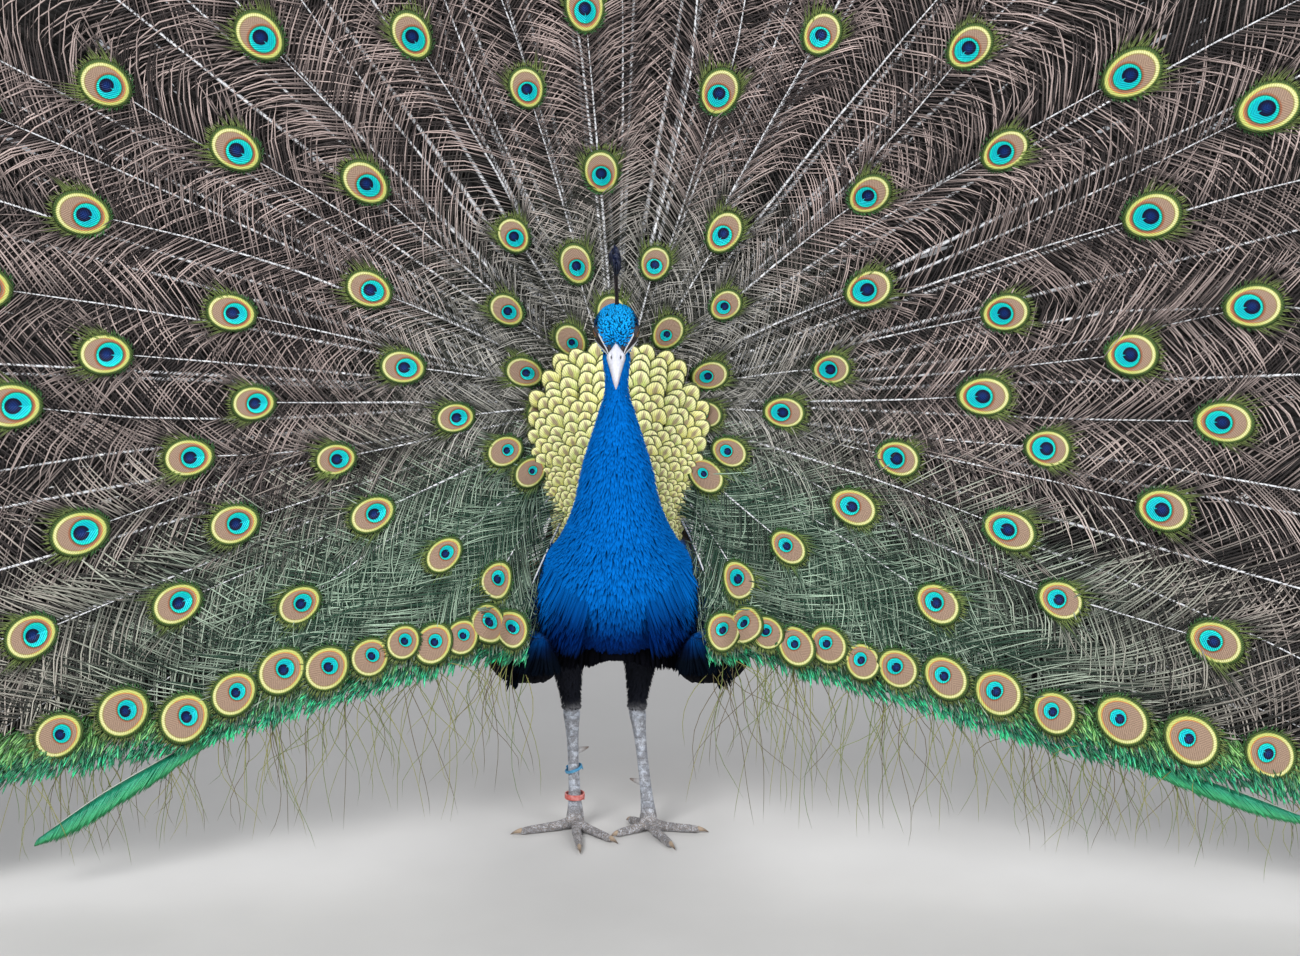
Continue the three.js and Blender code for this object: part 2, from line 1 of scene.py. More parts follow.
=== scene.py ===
"""An Indian peacock in full display, life size, as a still model.

The row frame is in metres, +Z up, with the bird facing -Y. Sizes here are in millimetres
in the bird's own frame, with its midline at x = 0 and the floor a little below z = 0, and
each piece is laid into the row frame as its mesh is made.
"""

import bpy
import numpy as np
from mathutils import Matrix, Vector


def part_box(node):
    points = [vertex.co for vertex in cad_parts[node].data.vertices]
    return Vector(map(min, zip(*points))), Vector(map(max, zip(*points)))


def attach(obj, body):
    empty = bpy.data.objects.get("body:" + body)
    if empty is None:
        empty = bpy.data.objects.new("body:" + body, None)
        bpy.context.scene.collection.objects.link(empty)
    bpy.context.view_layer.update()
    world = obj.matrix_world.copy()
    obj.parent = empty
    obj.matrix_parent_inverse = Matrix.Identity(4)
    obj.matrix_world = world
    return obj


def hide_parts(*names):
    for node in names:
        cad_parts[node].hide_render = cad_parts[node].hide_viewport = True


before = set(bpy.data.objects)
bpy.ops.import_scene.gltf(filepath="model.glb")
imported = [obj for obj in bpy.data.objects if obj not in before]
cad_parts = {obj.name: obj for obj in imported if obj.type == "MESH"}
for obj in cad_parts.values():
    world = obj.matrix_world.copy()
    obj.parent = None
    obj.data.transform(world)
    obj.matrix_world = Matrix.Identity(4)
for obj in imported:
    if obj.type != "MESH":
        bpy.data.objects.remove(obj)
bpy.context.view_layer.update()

# ---------------------------------------------------------------- shape of the body
# Rows along the head, the spine, a wing and a thigh give the outline of the plumage. The
# skin and the feathers on it both follow them. The places and the colours that several
# sections share come after them.
# Rows of the spine: y, z, half width, radius on its hollow side, radius on its outer side.
SPINE = [
    [-66, 568, 19, 19, 20], [-61, 527, 15.5, 17, 17], [-57, 498, 22, 23, 24],
    [-52, 458, 33.5, 31, 34], [-47, 430, 40.5, 36, 40], [-38, 385, 50, 44, 52],
    [-22, 345, 65, 52, 72], [5, 308, 84, 58, 98], [48, 287, 91, 66, 94],
    [105, 284, 90, 72, 84], [158, 302, 84, 70, 88], [184, 350, 74, 60, 78],
    [180, 402, 64, 52, 64], [156, 446, 52, 44, 52], [124, 478, 36, 30, 34]]
# Rows of the head: distance along its axis, half width, height above and below it.
HEAD = [[-31, 4, 4, 4], [-27, 12, 12, 11], [-17, 20, 21, 18], [-3, 23.5, 25, 22],
        [9, 23, 23.5, 21.5], [19, 17, 18, 17], [27, 11.5, 12.5, 12], [33, 8.5, 8.5, 9]]
HEAD_CENTRE = -78, 591
HEAD_PITCH = np.radians(40)
# Rows of a wing: y, middle height, half height, inner and outer distance from the midline.
WING = [[-66, 238, 10, 74, 90], [-36, 216, 30, 66, 124], [12, 207, 36, 60, 150],
        [74, 216, 54, 58, 150], [145, 212, 66, 60, 134], [205, 188, 64, 74, 116],
        [262, 154, 50, 84, 94], [305, 122, 24, 76, 78]]
# Rows of a thigh: height, share of the way from ankle to hip, half width and half depth.
THIGH = [[131.3, 0, 10.5, 11], [138, 0.06, 11, 13], [155, 0.2, 13, 16],
         [182, 0.45, 18, 24], [210, 0.7, 27, 36], [250, 1, 33, 42]]
HIP = {"right": (-64, 44), "left": (30, 46)}
ANKLE = {"right": (-54, 48), "left": (21, 46)}
FOOT = {"right": (-50, 28), "left": (34, 22)}
FLOOR = -8
SIDES = {"right": -1, "left": 1}
EYE_PLACE = 7, 18.5, 6                # along the head's axis, across and up
EYE_RADIUS = 6.6
COBALT = (0.0008, 0.127, 0.49)
DEEP_BLUE = (0.0005, 0.018, 0.13)
CROWN_SIDE_SHADE = (0.0005, 0.022, 0.085)
AZURE = (0.003, 0.26, 0.61)
SOOT = (0.0020, 0.0022, 0.0045)
EARTH = (0.045, 0.034, 0.026)

# ---------------------------------------------------------------- surfaces
# Each part of the body is a surface over a place t, counted in rows, and an angle round it.
# It can be grown outwards, or inwards where the number is below 0.


def along(rows, t):
    """The rows read at place t, counted in rows: half of 2b + (c - a)f + (2a - 5b + 4c - d)f^2
    + (3b - a - 3c + d)f^3 for the four rows about t, where f is the part of t past row b."""
    rows = np.asarray(rows, float)
    last = len(rows) - 1
    start = np.clip(np.floor(t).astype(int), 0, last - 1)
    f = (np.clip(t, 0, last) - start)[..., None]
    a, b, c, d = (rows[np.clip(start + k, 0, last)] for k in (-1, 0, 1, 2))
    return 0.5 * (2 * b + (c - a) * f + (2 * a - 5 * b + 4 * c - d) * f ** 2
                  + (3 * b - a - 3 * c + d) * f ** 3)


def gridded(a, b):
    """Two arrays over rows of a and columns of b."""
    return np.meshgrid(a, b, indexing="ij")


def columns(array):
    """The last axis of an array, taken apart."""
    return np.moveaxis(array, -1, 0)


def unit(vectors):
    """Vectors divided by their lengths."""
    return vectors / np.maximum(np.linalg.norm(vectors, axis=-1, keepdims=True), 1e-9)


def smooth_step(low, high, value):
    """From 0 at low to 1 at high, level at both: t t (3 - 2t)."""
    t = np.clip((value - low) / (high - low), 0, 1)
    return t * t * (3 - 2 * t)


def mixed(a, b, share):
    """Colour a turned into colour b by a share for each point."""
    share = np.asarray(share)[..., None]
    return np.asarray(a) * (1 - share) + np.asarray(b) * share


def body_surface(t, angle, grow=0.0):
    """Neck, trunk and rump: at place t of the spine, an oval square to it, with the angle
    counted from its outer side, which is the throat, breast, belly and vent."""
    y, z, half, inner, outer = columns(along(SPINE, t))
    step = 0.01
    run = unit((along(SPINE, t + step) - along(SPINE, t - step))[..., :2])
    reach = (np.where(np.cos(angle) > 0, outer, inner) + grow) * np.cos(angle)
    return np.stack([(half + grow) * np.sin(angle), y + reach * run[..., 1],
                     z - reach * run[..., 0]], -1)


def head_point(forward, across, up):
    """A place in the head: along its pitched axis, across it and up from it."""
    cos, sin = np.cos(HEAD_PITCH), np.sin(HEAD_PITCH)
    forward, across, up = np.broadcast_arrays(forward, across, up)
    return np.stack([across, HEAD_CENTRE[0] - forward * cos - up * sin,
                     HEAD_CENTRE[1] - forward * sin + up * cos], -1)


def head_surface(t, angle, grow=0.0):
    """The head: an egg of ovals along its axis, with the angle counted from its top."""
    forward, half, above, below = columns(along(HEAD, t))
    height = (np.where(np.cos(angle) > 0, above, below) + grow) * np.cos(angle)
    return head_point(forward * (1 + grow / HEAD[3][1]), (half + grow) * np.sin(angle), height)


def wing_surface(side):
    """The surface of one folded wing, its angle counted from its outer edge upwards. The
    lower half is squared: the cosine is raised to the power of 0.6."""
    def surface(t, angle, grow=0.0):
        y, middle, half, near, far = columns(along(WING, t))
        cos = np.cos(angle)
        lobe = np.where(np.sin(angle) < 0, np.sign(cos) * np.abs(cos) ** 0.6, cos)
        out = (near + far) / 2 + ((far - near) / 2 + grow) * lobe
        return np.stack([SIDES[side] * out, y, middle + (half + grow) * np.sin(angle)], -1)
    return surface


def thigh_surface(side):
    """The surface of one thigh, an upright oval about a line from the ankle to the hip."""
    def surface(t, angle, grow=0.0):
        z, share, half, depth = columns(along(THIGH, t))
        x, y = (ANKLE[side][k] + share * (HIP[side][k] - ANKLE[side][k]) for k in (0, 1))
        return np.stack([x + (half + grow) * np.cos(angle), y + (depth + grow) * np.sin(angle),
                         z], -1)
    return surface


# ---------------------------------------------------------------- meshes
# A closed mesh is kept as points and rows of corners in the bird's own frame, until
# new_piece makes it an object in the row frame.


def turned_out(points, faces):
    """Triangles of a closed mesh, turned so that its volume is positive."""
    a, b, c = (points[faces[:, k]] for k in range(3))
    return faces if (a * np.cross(b, c)).sum() > 0 else faces[:, ::-1]


def closed_tube(rings):
    """Points and triangles over rings of points, with a fan over the middle of each end."""
    rows, sides = rings.shape[:2]
    points = np.concatenate([rings.reshape(-1, 3), rings[:1].mean(1), rings[-1:].mean(1)])
    i, j = (k.ravel() for k in gridded(np.arange(rows - 1), np.arange(sides)))
    a, b = i * sides + j, i * sides + (j + 1) % sides
    j = np.arange(sides)
    n, last, end = (j + 1) % sides, (rows - 1) * sides, np.full(sides, rows * sides)
    faces = np.concatenate([
        np.stack([a, b, b + sides], 1), np.stack([a, b + sides, a + sides], 1),
        np.stack([n, j, end], 1), np.stack([last + j, last + n, end + 1], 1)])
    return points, turned_out(points, faces)


def tube_mark(values, first=0, last=1):
    """A number for each point of a closed tube, thrice: those of its rings, then its ends'."""
    return np.stack([np.append(values, [first, last])] * 3, 1)


def read(table, place):
    """A table of (place, value) rows, read at places along straight lines between them."""
    return np.interp(place, *columns(np.array(table)))


def joined(parts):
    """Several (points, faces) as one."""
    starts = np.cumsum([0] + [len(points) for points, _ in parts[:-1]])
    return (np.concatenate([points for points, _ in parts]),
            np.concatenate([faces + start for (_, faces), start in zip(parts, starts)]))


def copies(faces, size, count):
    """The triangles of a part with so many points, for this many such parts."""
    return (faces[None] + size * np.arange(count)[:, None, None]).reshape(-1, 3)


# The eye sockets tell where the bird's own frame lies in the row frame.
eye_corners = np.array([corner for name in ("eye_left", "eye_right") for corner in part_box(name)])
eye_middle = (eye_corners.min(0) + eye_corners.max(0)) / 2
SHIFT = eye_middle * 1000 - head_point(EYE_PLACE[0], 0, EYE_PLACE[2])


def new_piece(name, points, faces, finish, slot, nodes=(), smooth=True, bake=None, **marks):
    """A mesh object from points in the bird's own frame and rows of corners. bake holds a
    place for each point on the OFBake map, and marks are colours or vectors for each point."""
    mesh = bpy.data.meshes.new(name)
    faces = np.ascontiguousarray(faces, np.int32)
    mesh.vertices.add(len(points))
    mesh.vertices.foreach_set("co", ((points + SHIFT) / 1000).astype(np.float32).ravel())
    mesh.loops.add(faces.size)
    mesh.loops.foreach_set("vertex_index", faces.ravel())
    mesh.polygons.add(len(faces))
    mesh.polygons.foreach_set(
        "loop_start", np.arange(0, faces.size, faces.shape[1], dtype=np.int32))
    mesh.polygons.foreach_set("use_smooth", np.full(len(faces), smooth))
    mesh.update(calc_edges=True)
    mark_points(mesh, **marks)
    if bake is not None:
        layer = mesh.uv_layers.new(name="OFBake")
        layer.data.foreach_set("uv", bake[faces.ravel()].astype(np.float32).ravel())
    piece = bpy.data.objects.new(name, mesh)
    bpy.context.scene.collection.objects.link(piece)
    mesh.materials.append(finish)
    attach(piece, "root")
    if nodes:
        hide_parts(*nodes)
    return piece


def mark_points(mesh, **marks):
    """Stores a colour or a vector for each point of a mesh, under the mark's name."""
    for name, values in marks.items():
        if name == "tint":
            layer = mesh.attributes.new(name, "FLOAT_COLOR", "POINT")
            values = np.concatenate([values, np.ones((len(values), 1))], 1)
            layer.data.foreach_set("color", values.astype(np.float32).ravel())
        else:
            layer = mesh.attributes.new(name, "FLOAT_VECTOR", "POINT")
            layer.data.foreach_set("vector", np.asarray(values, np.float32).ravel())


def one_skin(piece, voxel, rounds):
    """Melts the closed parts of a piece into one skin of voxels this many metres wide and
    smooths it, and returns its points in the bird's own frame."""
    melt = piece.modifiers.new("melt", "REMESH")
    melt.mode, melt.voxel_size = "VOXEL", voxel
    smooth = piece.modifiers.new("smooth", "SMOOTH")
    smooth.factor, smooth.iterations = 0.5, rounds
    graph = bpy.context.evaluated_depsgraph_get()
    mesh = bpy.data.meshes.new_from_object(piece.evaluated_get(graph))
    piece.modifiers.clear()
    old, piece.data = piece.data, mesh
    if not mesh.materials:
        mesh.materials.append(old.materials[0])
    mesh.polygons.foreach_set("use_smooth", np.full(len(mesh.polygons), True))
    return points_of(mesh)


def points_of(mesh, what="co"):
    """The places or normals of a mesh's points; places in the bird's own frame."""
    found = np.empty(len(mesh.vertices) * 3, np.float32)
    mesh.vertices.foreach_get(what, found)
    found = found.reshape(-1, 3).astype(float)
    return found * 1000 - SHIFT if what == "co" else found


# ---------------------------------------------------------------- materials
# A material is written as sums, products and blends of its nodes' sockets. It varies over
# the surface by noise and by what the mesh stores for each point.


class Shade:
    """One socket of a material's nodes. Arithmetic on it adds Math nodes."""

    def __init__(self, tree, socket=None):
        self.tree, self.socket = tree, socket

    def node(self, kind, settings=None, sockets=None, out=0):
        """Adds a node of a kind, with its settings first and then its sockets, each a value
        or another Shade, and returns the output."""
        made = self.tree.nodes.new("ShaderNode" + kind)
        for key, value in (settings or {}).items():
            if key == "stops":
                for k, (place, colour) in enumerate(value):
                    stops = made.color_ramp.elements
                    stop = stops[k] if k < 2 else stops.new(place)
                    stop.position, stop.color = place, (*colour, 1)
            else:
                setattr(made, key, value)
        for key, value in (sockets or {}).items():
            if isinstance(value, Shade):
                self.tree.links.new(value.socket, made.inputs[key])
            else:
                made.inputs[key].default_value = value
        return Shade(self.tree, made.outputs[out])

    def math(self, operation, a, b=0.0):
        return self.node("Math", {"operation": operation}, {0: a, 1: b})

    def __add__(self, other):
        return self.math("ADD", self, other)

    def __sub__(self, other):
        return self.math("SUBTRACT", self, other)

    def __rsub__(self, other):
        return self.math("SUBTRACT", other, self)

    def __mul__(self, other):
        return self.math("MULTIPLY", self, other)

    def __truediv__(self, other):
        return self.math("DIVIDE", self, other)

    __radd__, __rmul__ = __add__, __mul__

    def root(self):
        return self.math("SQRT", self)

    def size(self):
        return self.math("ABSOLUTE", self)

    def wave(self):
        return self.math("SINE", self)

    def step(self, low, high):
        """From 0 at low to 1 at high, and smooth between them; low may be the larger."""
        return self.node("MapRange", {"interpolation_type": "SMOOTHSTEP"},
                         {"Value": self, "From Min": low, "From Max": high})

    def blend(self, a, b):
        """Colour a turned into colour b by this share."""
        a, b = (c if isinstance(c, Shade) else (*c, 1) for c in (a, b))
        return self.node("Mix", {"data_type": "RGBA"}, {0: self, 6: a, 7: b}, out=2)

    def shaded(self, colour):
        """The colour multiplied by this number."""
        grey = self.node("CombineXYZ", None, {0: self, 1: self, 2: self})
        return self.node("VectorMath", {"operation": "MULTIPLY"}, {0: colour, 1: grey})

    def parts(self):
        return [self.node("SeparateXYZ", None, {0: self}, out=k) for k in range(3)]

    def mark(self, name, out=0):
        """What the mesh stores for each point under this name: colour 0 or vector 1."""
        return self.node("Attribute", {"attribute_name": name}, out=out)

    def noise(self, scale, detail=3.0, stretch=(1, 1, 1), out=0):
        """Noise on object coordinates, from 0 to 1."""
        place = self.node("TexCoord", out=3)
        place = self.node("Mapping", None, {"Vector": place, "Scale": stretch})
        return self.node("TexNoise", None, {"Vector": place, "Scale": scale, "Detail": detail},
                         out=out)


def finish_of(name, build, **fixed):
    """A material. build gets a Shade of its empty tree and returns what varies over the
    surface, with Height for a bump; fixed holds the shader's values that stay the same."""
    material = bpy.data.materials.new(name)
    material.use_nodes = True
    tree = material.node_tree
    shader = tree.nodes["Principled BSDF"]
    varying = build(Shade(tree))
    height = varying.pop("Height", None)
    if height is not None:
        lift = varying.pop("Lift", 0.0003)
        varying["Normal"] = height.node("Bump", None, {
            "Height": height, "Distance": lift, "Strength": 0.8})
    for key, value in varying.items():
        tree.links.new(value.socket, shader.inputs[key])
    for key, value in fixed.items():
        shader.inputs[key.replace("_", " ")].default_value = value
    return material


def plumage(points):
    """The colour of the body's plumage at a place: azure on the crown, midnight blue beside it as
    painted shade of the head's sides, cobalt down to the breast, deep blue and then black below it,
    black also at the wings' fronts as their painted shade, and earth brown behind."""
    x, y, z = columns(points)
    aside = smooth_step(15.5, 20, np.abs(x))
    # The crown's sides are painted midnight blue, as the shade where the head turns away from the
    # light.
    colour = mixed(COBALT, mixed(AZURE, CROWN_SIDE_SHADE, aside), smooth_step(552, 598, z))
    low = z + 0.05 * np.abs(x)
    colour = mixed(colour, DEEP_BLUE, smooth_step(325, 246, low + 40 * smooth_step(64, 92, np.abs(x))))
    # The black below reaches higher at the sides, over the fronts of the drooped wings, and further
    # out those fronts are painted black: painted shade under the wings.
    colour = mixed(colour, SOOT, smooth_step(244, 216, low - 12 * smooth_step(62, 76, np.abs(x))))
    colour = mixed(colour, SOOT, smooth_step(98, 112, np.abs(x)) * smooth_step(330, 300, z))
    colour = mixed(colour, SOOT, smooth_step(20, 80, y) * smooth_step(330, 300, z))
    return mixed(colour, EARTH, smooth_step(15, 60, y) * smooth_step(560, 520, z))


def tinted(scale, detail, level, spread, rough, more):
    """A paint in the mesh's own tint. Fine noise of this scale and detail varies its level
    and its roughness, each from a first value upwards, and lifts the surface."""
    def paint(s):
        grain = s.noise(scale, detail)
        return {"Base Color": (level + spread * grain).shaded(s.mark("tint")),
                "Roughness": rough + more * grain, "Height": grain}
    return paint


# ---------------------------------------------------------------- skin
# One skin covers the head, neck, trunk, rump, wings and thighs. It lies inside their outline by the
# depth of the plumage, and shows only between feathers, where it is painted a darker copy of the
# plumage's colour as the shade between them.
turn = np.linspace(-np.pi, np.pi, 48, endpoint=False)


def whole(surface, rows, count, grow):
    """A closed mesh over the whole of a surface, grown or, below 0, shrunk by some depth."""
    return closed_tube(surface(*round_rows(rows, count), grow))


def round_rows(rows, count):
    """This many places along some rows, each with a full turn of angles."""
    return gridded(np.linspace(0, len(rows) - 1, count), turn)


SKIN_DEPTH = {"head": -1.2, "body": -7.0, "wing": -5.0, "thigh": -3.5}
parts = [whole(head_surface, HEAD, 40, SKIN_DEPTH["head"]),
         whole(body_surface, SPINE, 120, SKIN_DEPTH["body"])]
for name in SIDES:
    parts.append(whole(wing_surface(name), WING, 50, SKIN_DEPTH["wing"]))
    parts.append(whole(thigh_surface(name), THIGH, 30, SKIN_DEPTH["thigh"]))
# The skin is painted a quarter to a half as bright as the plumage, as the shade between the feathers.
skin = new_piece(
    "skin", *joined(parts),
    finish_of("skin in painted shade", tinted(900, 3.0, 0.25, 0.3, 0.7, 0.2), Specular_IOR_Level=0.2),
    "body_feather", ["head", "neck", "trunk", "rump"]
    + [part + side for part in ("wing_", "thigh_") for side in SIDES])
points = one_skin(skin, 0.0028, 6)
mark_points(skin.data, tint=plumage(points))

# ---------------------------------------------------------------- eyes
# A dark brown eye with a black pupil under a clear, wet cornea. Its lids are bare skin and
# leave an almond-shaped opening.
EYE_AXIS = (0.42, 1.0, 0.05)          # forward, across and up
EYE_ROWS, EYE_SIDES = 30, 48
LID_GAP = 0.35                        # between the eyeball and the lids
LID_THICK = 0.9
LID_ROWS = 25


def eye_frame(side):
    """The middle of an eye and its axis, its forward and its upward direction."""
    middle = head_point(EYE_PLACE[0], side * EYE_PLACE[1], EYE_PLACE[2])
    zero = head_point(0, 0, 0)
    axis = unit(head_point(EYE_AXIS[0], side * EYE_AXIS[1], EYE_AXIS[2]) - zero)
    up = head_point(0, 0, 1) - zero
    ahead = unit(np.cross(up, axis) * side)
    return middle, axis, ahead, np.cross(axis, ahead) * side


def ball_rings(side, lean, radius, turns):
    """Rings of a ball about the eye's axis: each at a lean from the axis, and for each turn
    cos(turn) ahead and sin(turn) up."""
    middle, axis, ahead, up = eye_frame(side)
    lean, radius = lean[..., None], radius[..., None]
    round_axis = np.cos(turns)[..., None] * ahead + np.sin(turns)[..., None] * up
    return middle + radius * (np.cos(lean) * axis + np.sin(lean) * round_axis)


def eye_paint(s):
    lean = s.mark("place", 1).parts()[0]
    streak = s.noise(2600, 2)
    iris = streak.blend((0.05, 0.018, 0.008), (0.20, 0.075, 0.025))
    iris = lean.step(0.62, 0.80).blend(iris, (0.012, 0.006, 0.004))
    return {"Base Color": lean.step(0.36, 0.33).blend(iris, (0.001, 0.001, 0.001)),
            "Roughness": 0.06 + 0.04 * streak}


eye_finish = finish_of("wet eye", eye_paint, Coat_Weight=1.0, Coat_Roughness=0.02)
around = np.linspace(0, 2 * np.pi, EYE_SIDES, endpoint=False)
for name, side in SIDES.items():
    lean, turns = gridded(np.linspace(0.01, np.pi - 0.01, EYE_ROWS), around)
    bulge = EYE_RADIUS * (1 + 0.03 * smooth_step(0.7, 0.2, lean))
    points, faces = closed_tube(ball_rings(side, lean, bulge, turns))
    new_piece("eyeball_" + name, points, faces, eye_finish, "eye", ["eye_" + name],
              place=tube_mark(lean, 0, np.pi))


def lid_paint(s):
    grain = s.noise(1800, 4)
    return {"Base Color": grain.blend((0.012, 0.012, 0.016), (0.05, 0.042, 0.045)),
            "Roughness": 0.55 + 0.3 * grain, "Height": grain}


lid_finish = finish_of("dark lid skin", lid_paint, Specular_IOR_Level=0.4)
for name, side in SIDES.items():
    # The rim of the opening runs out in the middle row, and the two faces meet there.
    share, turns = gridded(np.linspace(-1, 1, LID_ROWS), around)
    rim = np.radians(43 + 15 * np.cos(turns) ** 2 - 7 * np.clip(np.sin(turns), 0, 1))
    lean = rim + (np.radians(100) - rim) * np.abs(share) ** 1.2
    fold = 0.35 * np.exp(-((np.abs(share) - 0.28) / 0.08) ** 2)
    radius = EYE_RADIUS + LID_GAP + (LID_THICK + fold) * smooth_step(-0.12, 0.12, share)
    points, faces = closed_tube(ball_rings(side, lean, radius, turns))
    new_piece("lids_" + name, points, faces, lid_finish, "crown_feather")

# ---------------------------------------------------------------- face skin
# Bare white skin runs as a stripe from the bill over the eye and as a patch below it. The
# skin between them is dark and thinly feathered.
FACE_ROWS, FACE_COLUMNS = 60, 54
FACE_FROM, FACE_TO = 3.1, 6.95        # rows of the head
FACE_ANGLES = np.radians(40), np.radians(138)
WHITE_SKIN = (0.74, 0.76, 0.80)
LORE_SKIN = (0.020, 0.014, 0.020)
# The two stripes of white skin: the two ends as (row of the head, degrees from its top),
# and the half width in degrees at each.
BROW = ((7, 76), (3.6, 58)), (6.5, 3.6)
CHEEK = ((6.9, 106), (3.2, 112)), (9, 14)


def stripe(t, angle, ends, half):
    """How far inside a stripe a place is, from 0 to 1: the stripe runs straight between two
    ends given as row of the head and degrees from its top, and its half width in degrees
    goes from half[0] to half[1]."""
    (t0, a0), (t1, a1) = ends
    share = (t - t0) / (t1 - t0)
    middle = np.radians(a0 + (a1 - a0) * share)
    width = np.radians(half[0] + (half[1] - half[0]) * np.clip(share, 0, 1))
    inside = smooth_step(1.0, 0.6, np.abs(angle - middle) / width)
    return inside * smooth_step(-0.03, 0.05, share) * smooth_step(1.04, 0.92, share)


face_finish = finish_of("bare face skin", tinted(1500, 4, 0.75, 0.5, 0.45, 0.3),
                        Specular_IOR_Level=0.4)
for name, side in SIDES.items():
    t, angle = gridded(np.linspace(FACE_FROM, FACE_TO, FACE_ROWS),
                       np.linspace(*FACE_ANGLES, FACE_COLUMNS))
    white = np.maximum(stripe(t, angle, *BROW), stripe(t, angle, *CHEEK))
    edge = np.minimum.reduce([t - FACE_FROM, FACE_TO + 0.2 - t, angle - FACE_ANGLES[0],
                              FACE_ANGLES[1] - angle]) / 0.25
    grow = -1.4 + 1.3 * smooth_step(0, 1, edge) + 0.45 * white
    outer = head_surface(t, side * angle, grow)
    inner = head_surface(t, side * angle, -2.2)
    sheet = np.concatenate([outer, inner[:, ::-1]], 1)
    points, faces = closed_tube(sheet)
    tint = mixed(LORE_SKIN, WHITE_SKIN, white)
    tint = np.concatenate([np.concatenate([tint, tint[:, ::-1]], 1).reshape(-1, 3),
                           [LORE_SKIN] * 2])
    new_piece("face_skin_" + name, points, faces, face_finish, "crown_feather", tint=tint)

# ---------------------------------------------------------------- bill
# Two horn sheaths with a ridge along the top and a slit of a nostril on each side. The
# upper one curves down over the tip of the lower one.
BILL_START, BILL_LENGTH = 31.0, 41.0
NOSTRIL = 0.27, np.radians(52)        # share of the length, and angle up from the gape
UPPER = [[-0.14, -2.4, 1.2, 9.0], [-0.02, -0.8, 5.2, 10.2], [0.12, 0.0, 9.6, 10.0],
         [0.22, 0.3, 9.7, 9.4], [0.45, 1.2, 7.4, 8], [0.68, 2.8, 5.0, 6.2], [0.88, 5.6, 2.9, 4.3],
         [0.97, 8.6, 1.3, 2.4], [1.01, 10.4, 0.25, 0.5]]
LOWER = [[0, 0.4, 7.4, 6], [0.33, 1.1, 6.2, 4.8], [0.62, 2.5, 4.2, 3.7], [0.8, 4.6, 1.9, 2.2],
         [0.84, 5.4, 0.4, 0.6]]


def bill_sheath(rows, lift):
    """A half oval carried along the head's axis, above the gape if lift is 1 and below it if
    it is -1, with a ridge along its middle and, above, a hollow at each nostril. Also gives
    the share of the length and the height above the gape at each point."""
    place, angle = gridded(np.linspace(0, len(rows) - 1, 70), np.linspace(0, np.pi, 41))
    share, drop, half, height = columns(along(rows, place))
    ridge = 1 + 0.05 * np.exp(-((angle - np.pi / 2) / 0.18) ** 2)
    near_slit = ((share - NOSTRIL[0]) / 0.085) ** 2 + (
        (np.minimum(angle, np.pi - angle) - NOSTRIL[1]) / 0.15) ** 2
    slit = np.exp(-near_slit) * (lift > 0)
    round_up = np.sin(angle) ** 0.85 * height * ridge * lift
    inset = 1 - 0.16 * slit
    points = head_point(BILL_START + BILL_LENGTH * share, half * np.cos(angle) * inset,
                        round_up * inset - drop)
    return points, np.stack([share, np.sin(angle), slit], -1)


def bill_paint(s):
    share, height, slit = s.mark("place", 1).parts()
    grain = s.noise(420, 4, (1, 0.3, 1))
    horn = grain.blend((0.47, 0.49, 0.56), (0.79, 0.78, 0.86))
    # The horn is painted darker low on each sheath's sides, as the shade along the gape where the two
    # sheaths meet.
    horn = (height.step(0.30, 0.05) * 0.75).blend(horn, (0.16, 0.14, 0.13))
    horn = (share.step(0.75, 1.0) * 0.5).blend(horn, (0.58, 0.46, 0.48))
    # The nostril slits are painted near black, as the shade inside their openings.
    return {"Base Color": slit.step(0.45, 0.8).blend(horn, (0.02, 0.015, 0.015)),
            "Roughness": 0.28 + 0.25 * grain, "Height": grain}


bill_finish = finish_of("pale bill horn", bill_paint, Coat_Weight=0.25)
for name, rows, lift in (("bill_upper", UPPER, 1), ("bill_lower", LOWER, -1)):
    grid, place = bill_sheath(rows, lift)
    points, faces = closed_tube(grid)
    place = np.concatenate([place.reshape(-1, 3), [[0, 1, 0], [1, 1, 0]]])
    new_piece(name + "_horn", points, faces, bill_finish, "bill_horn", [name], place=place)

# ---------------------------------------------------------------- crest
# About two dozen bare shafts stand in a flat fan along the midline, each with a small
# spoon-shaped vane of blue-black at its tip.
CREST_FOOT = -74, 612                 # y and z
CREST_SHAFTS = 24
CREST_SPREAD = np.radians(31)
CREST_HEIGHT = 72
CREST_VANE = 21                       # length of the vane at a tip


def spindle_faces(count, rings, sides=3):
    """Triangles of many closed spindles, each a root point, rings of points and a tip."""
    j = np.arange(sides)
    n = (j + 1) % sides
    faces = [np.stack([0 * j, 1 + n, 1 + j], 1)]
    for k in range(rings - 1):
        a, b = 1 + k * sides + j, 1 + k * sides + n
        faces += [np.stack([a, b, b + sides], 1), np.stack([a, b + sides, a + sides], 1)]
    end = 1 + (rings - 1) * sides
    faces.append(np.stack([end + j, end + n, 0 * j + end + sides], 1))
    return copies(np.concatenate(faces), rings * sides + 2, count)


def spindles(middle, across, out, half, thick, sides=3):
    """Closed spindles along middle lines. middle holds root, rings and tip of each; a ring's
    three points are half a width to each side, along across, and a thickness along out. The
    fourth of four is as far behind."""
    across, out = across[:, 1:-1], out[:, 1:-1]
    half, thick = (np.broadcast_to(k, middle.shape[:2])[:, 1:-1, None] for k in (half, thick))
    body = middle[:, 1:-1]
    rings = np.stack([body + across * half, body + out * thick, body - across * half,
                      body - out * thick][:sides], 2)
    count = len(middle)
    points = np.concatenate([middle[:, :1], rings.reshape(count, -1, 3), middle[:, -1:]], 1)
    return points.reshape(-1, 3), spindle_faces(count, middle.shape[1] - 2, sides)


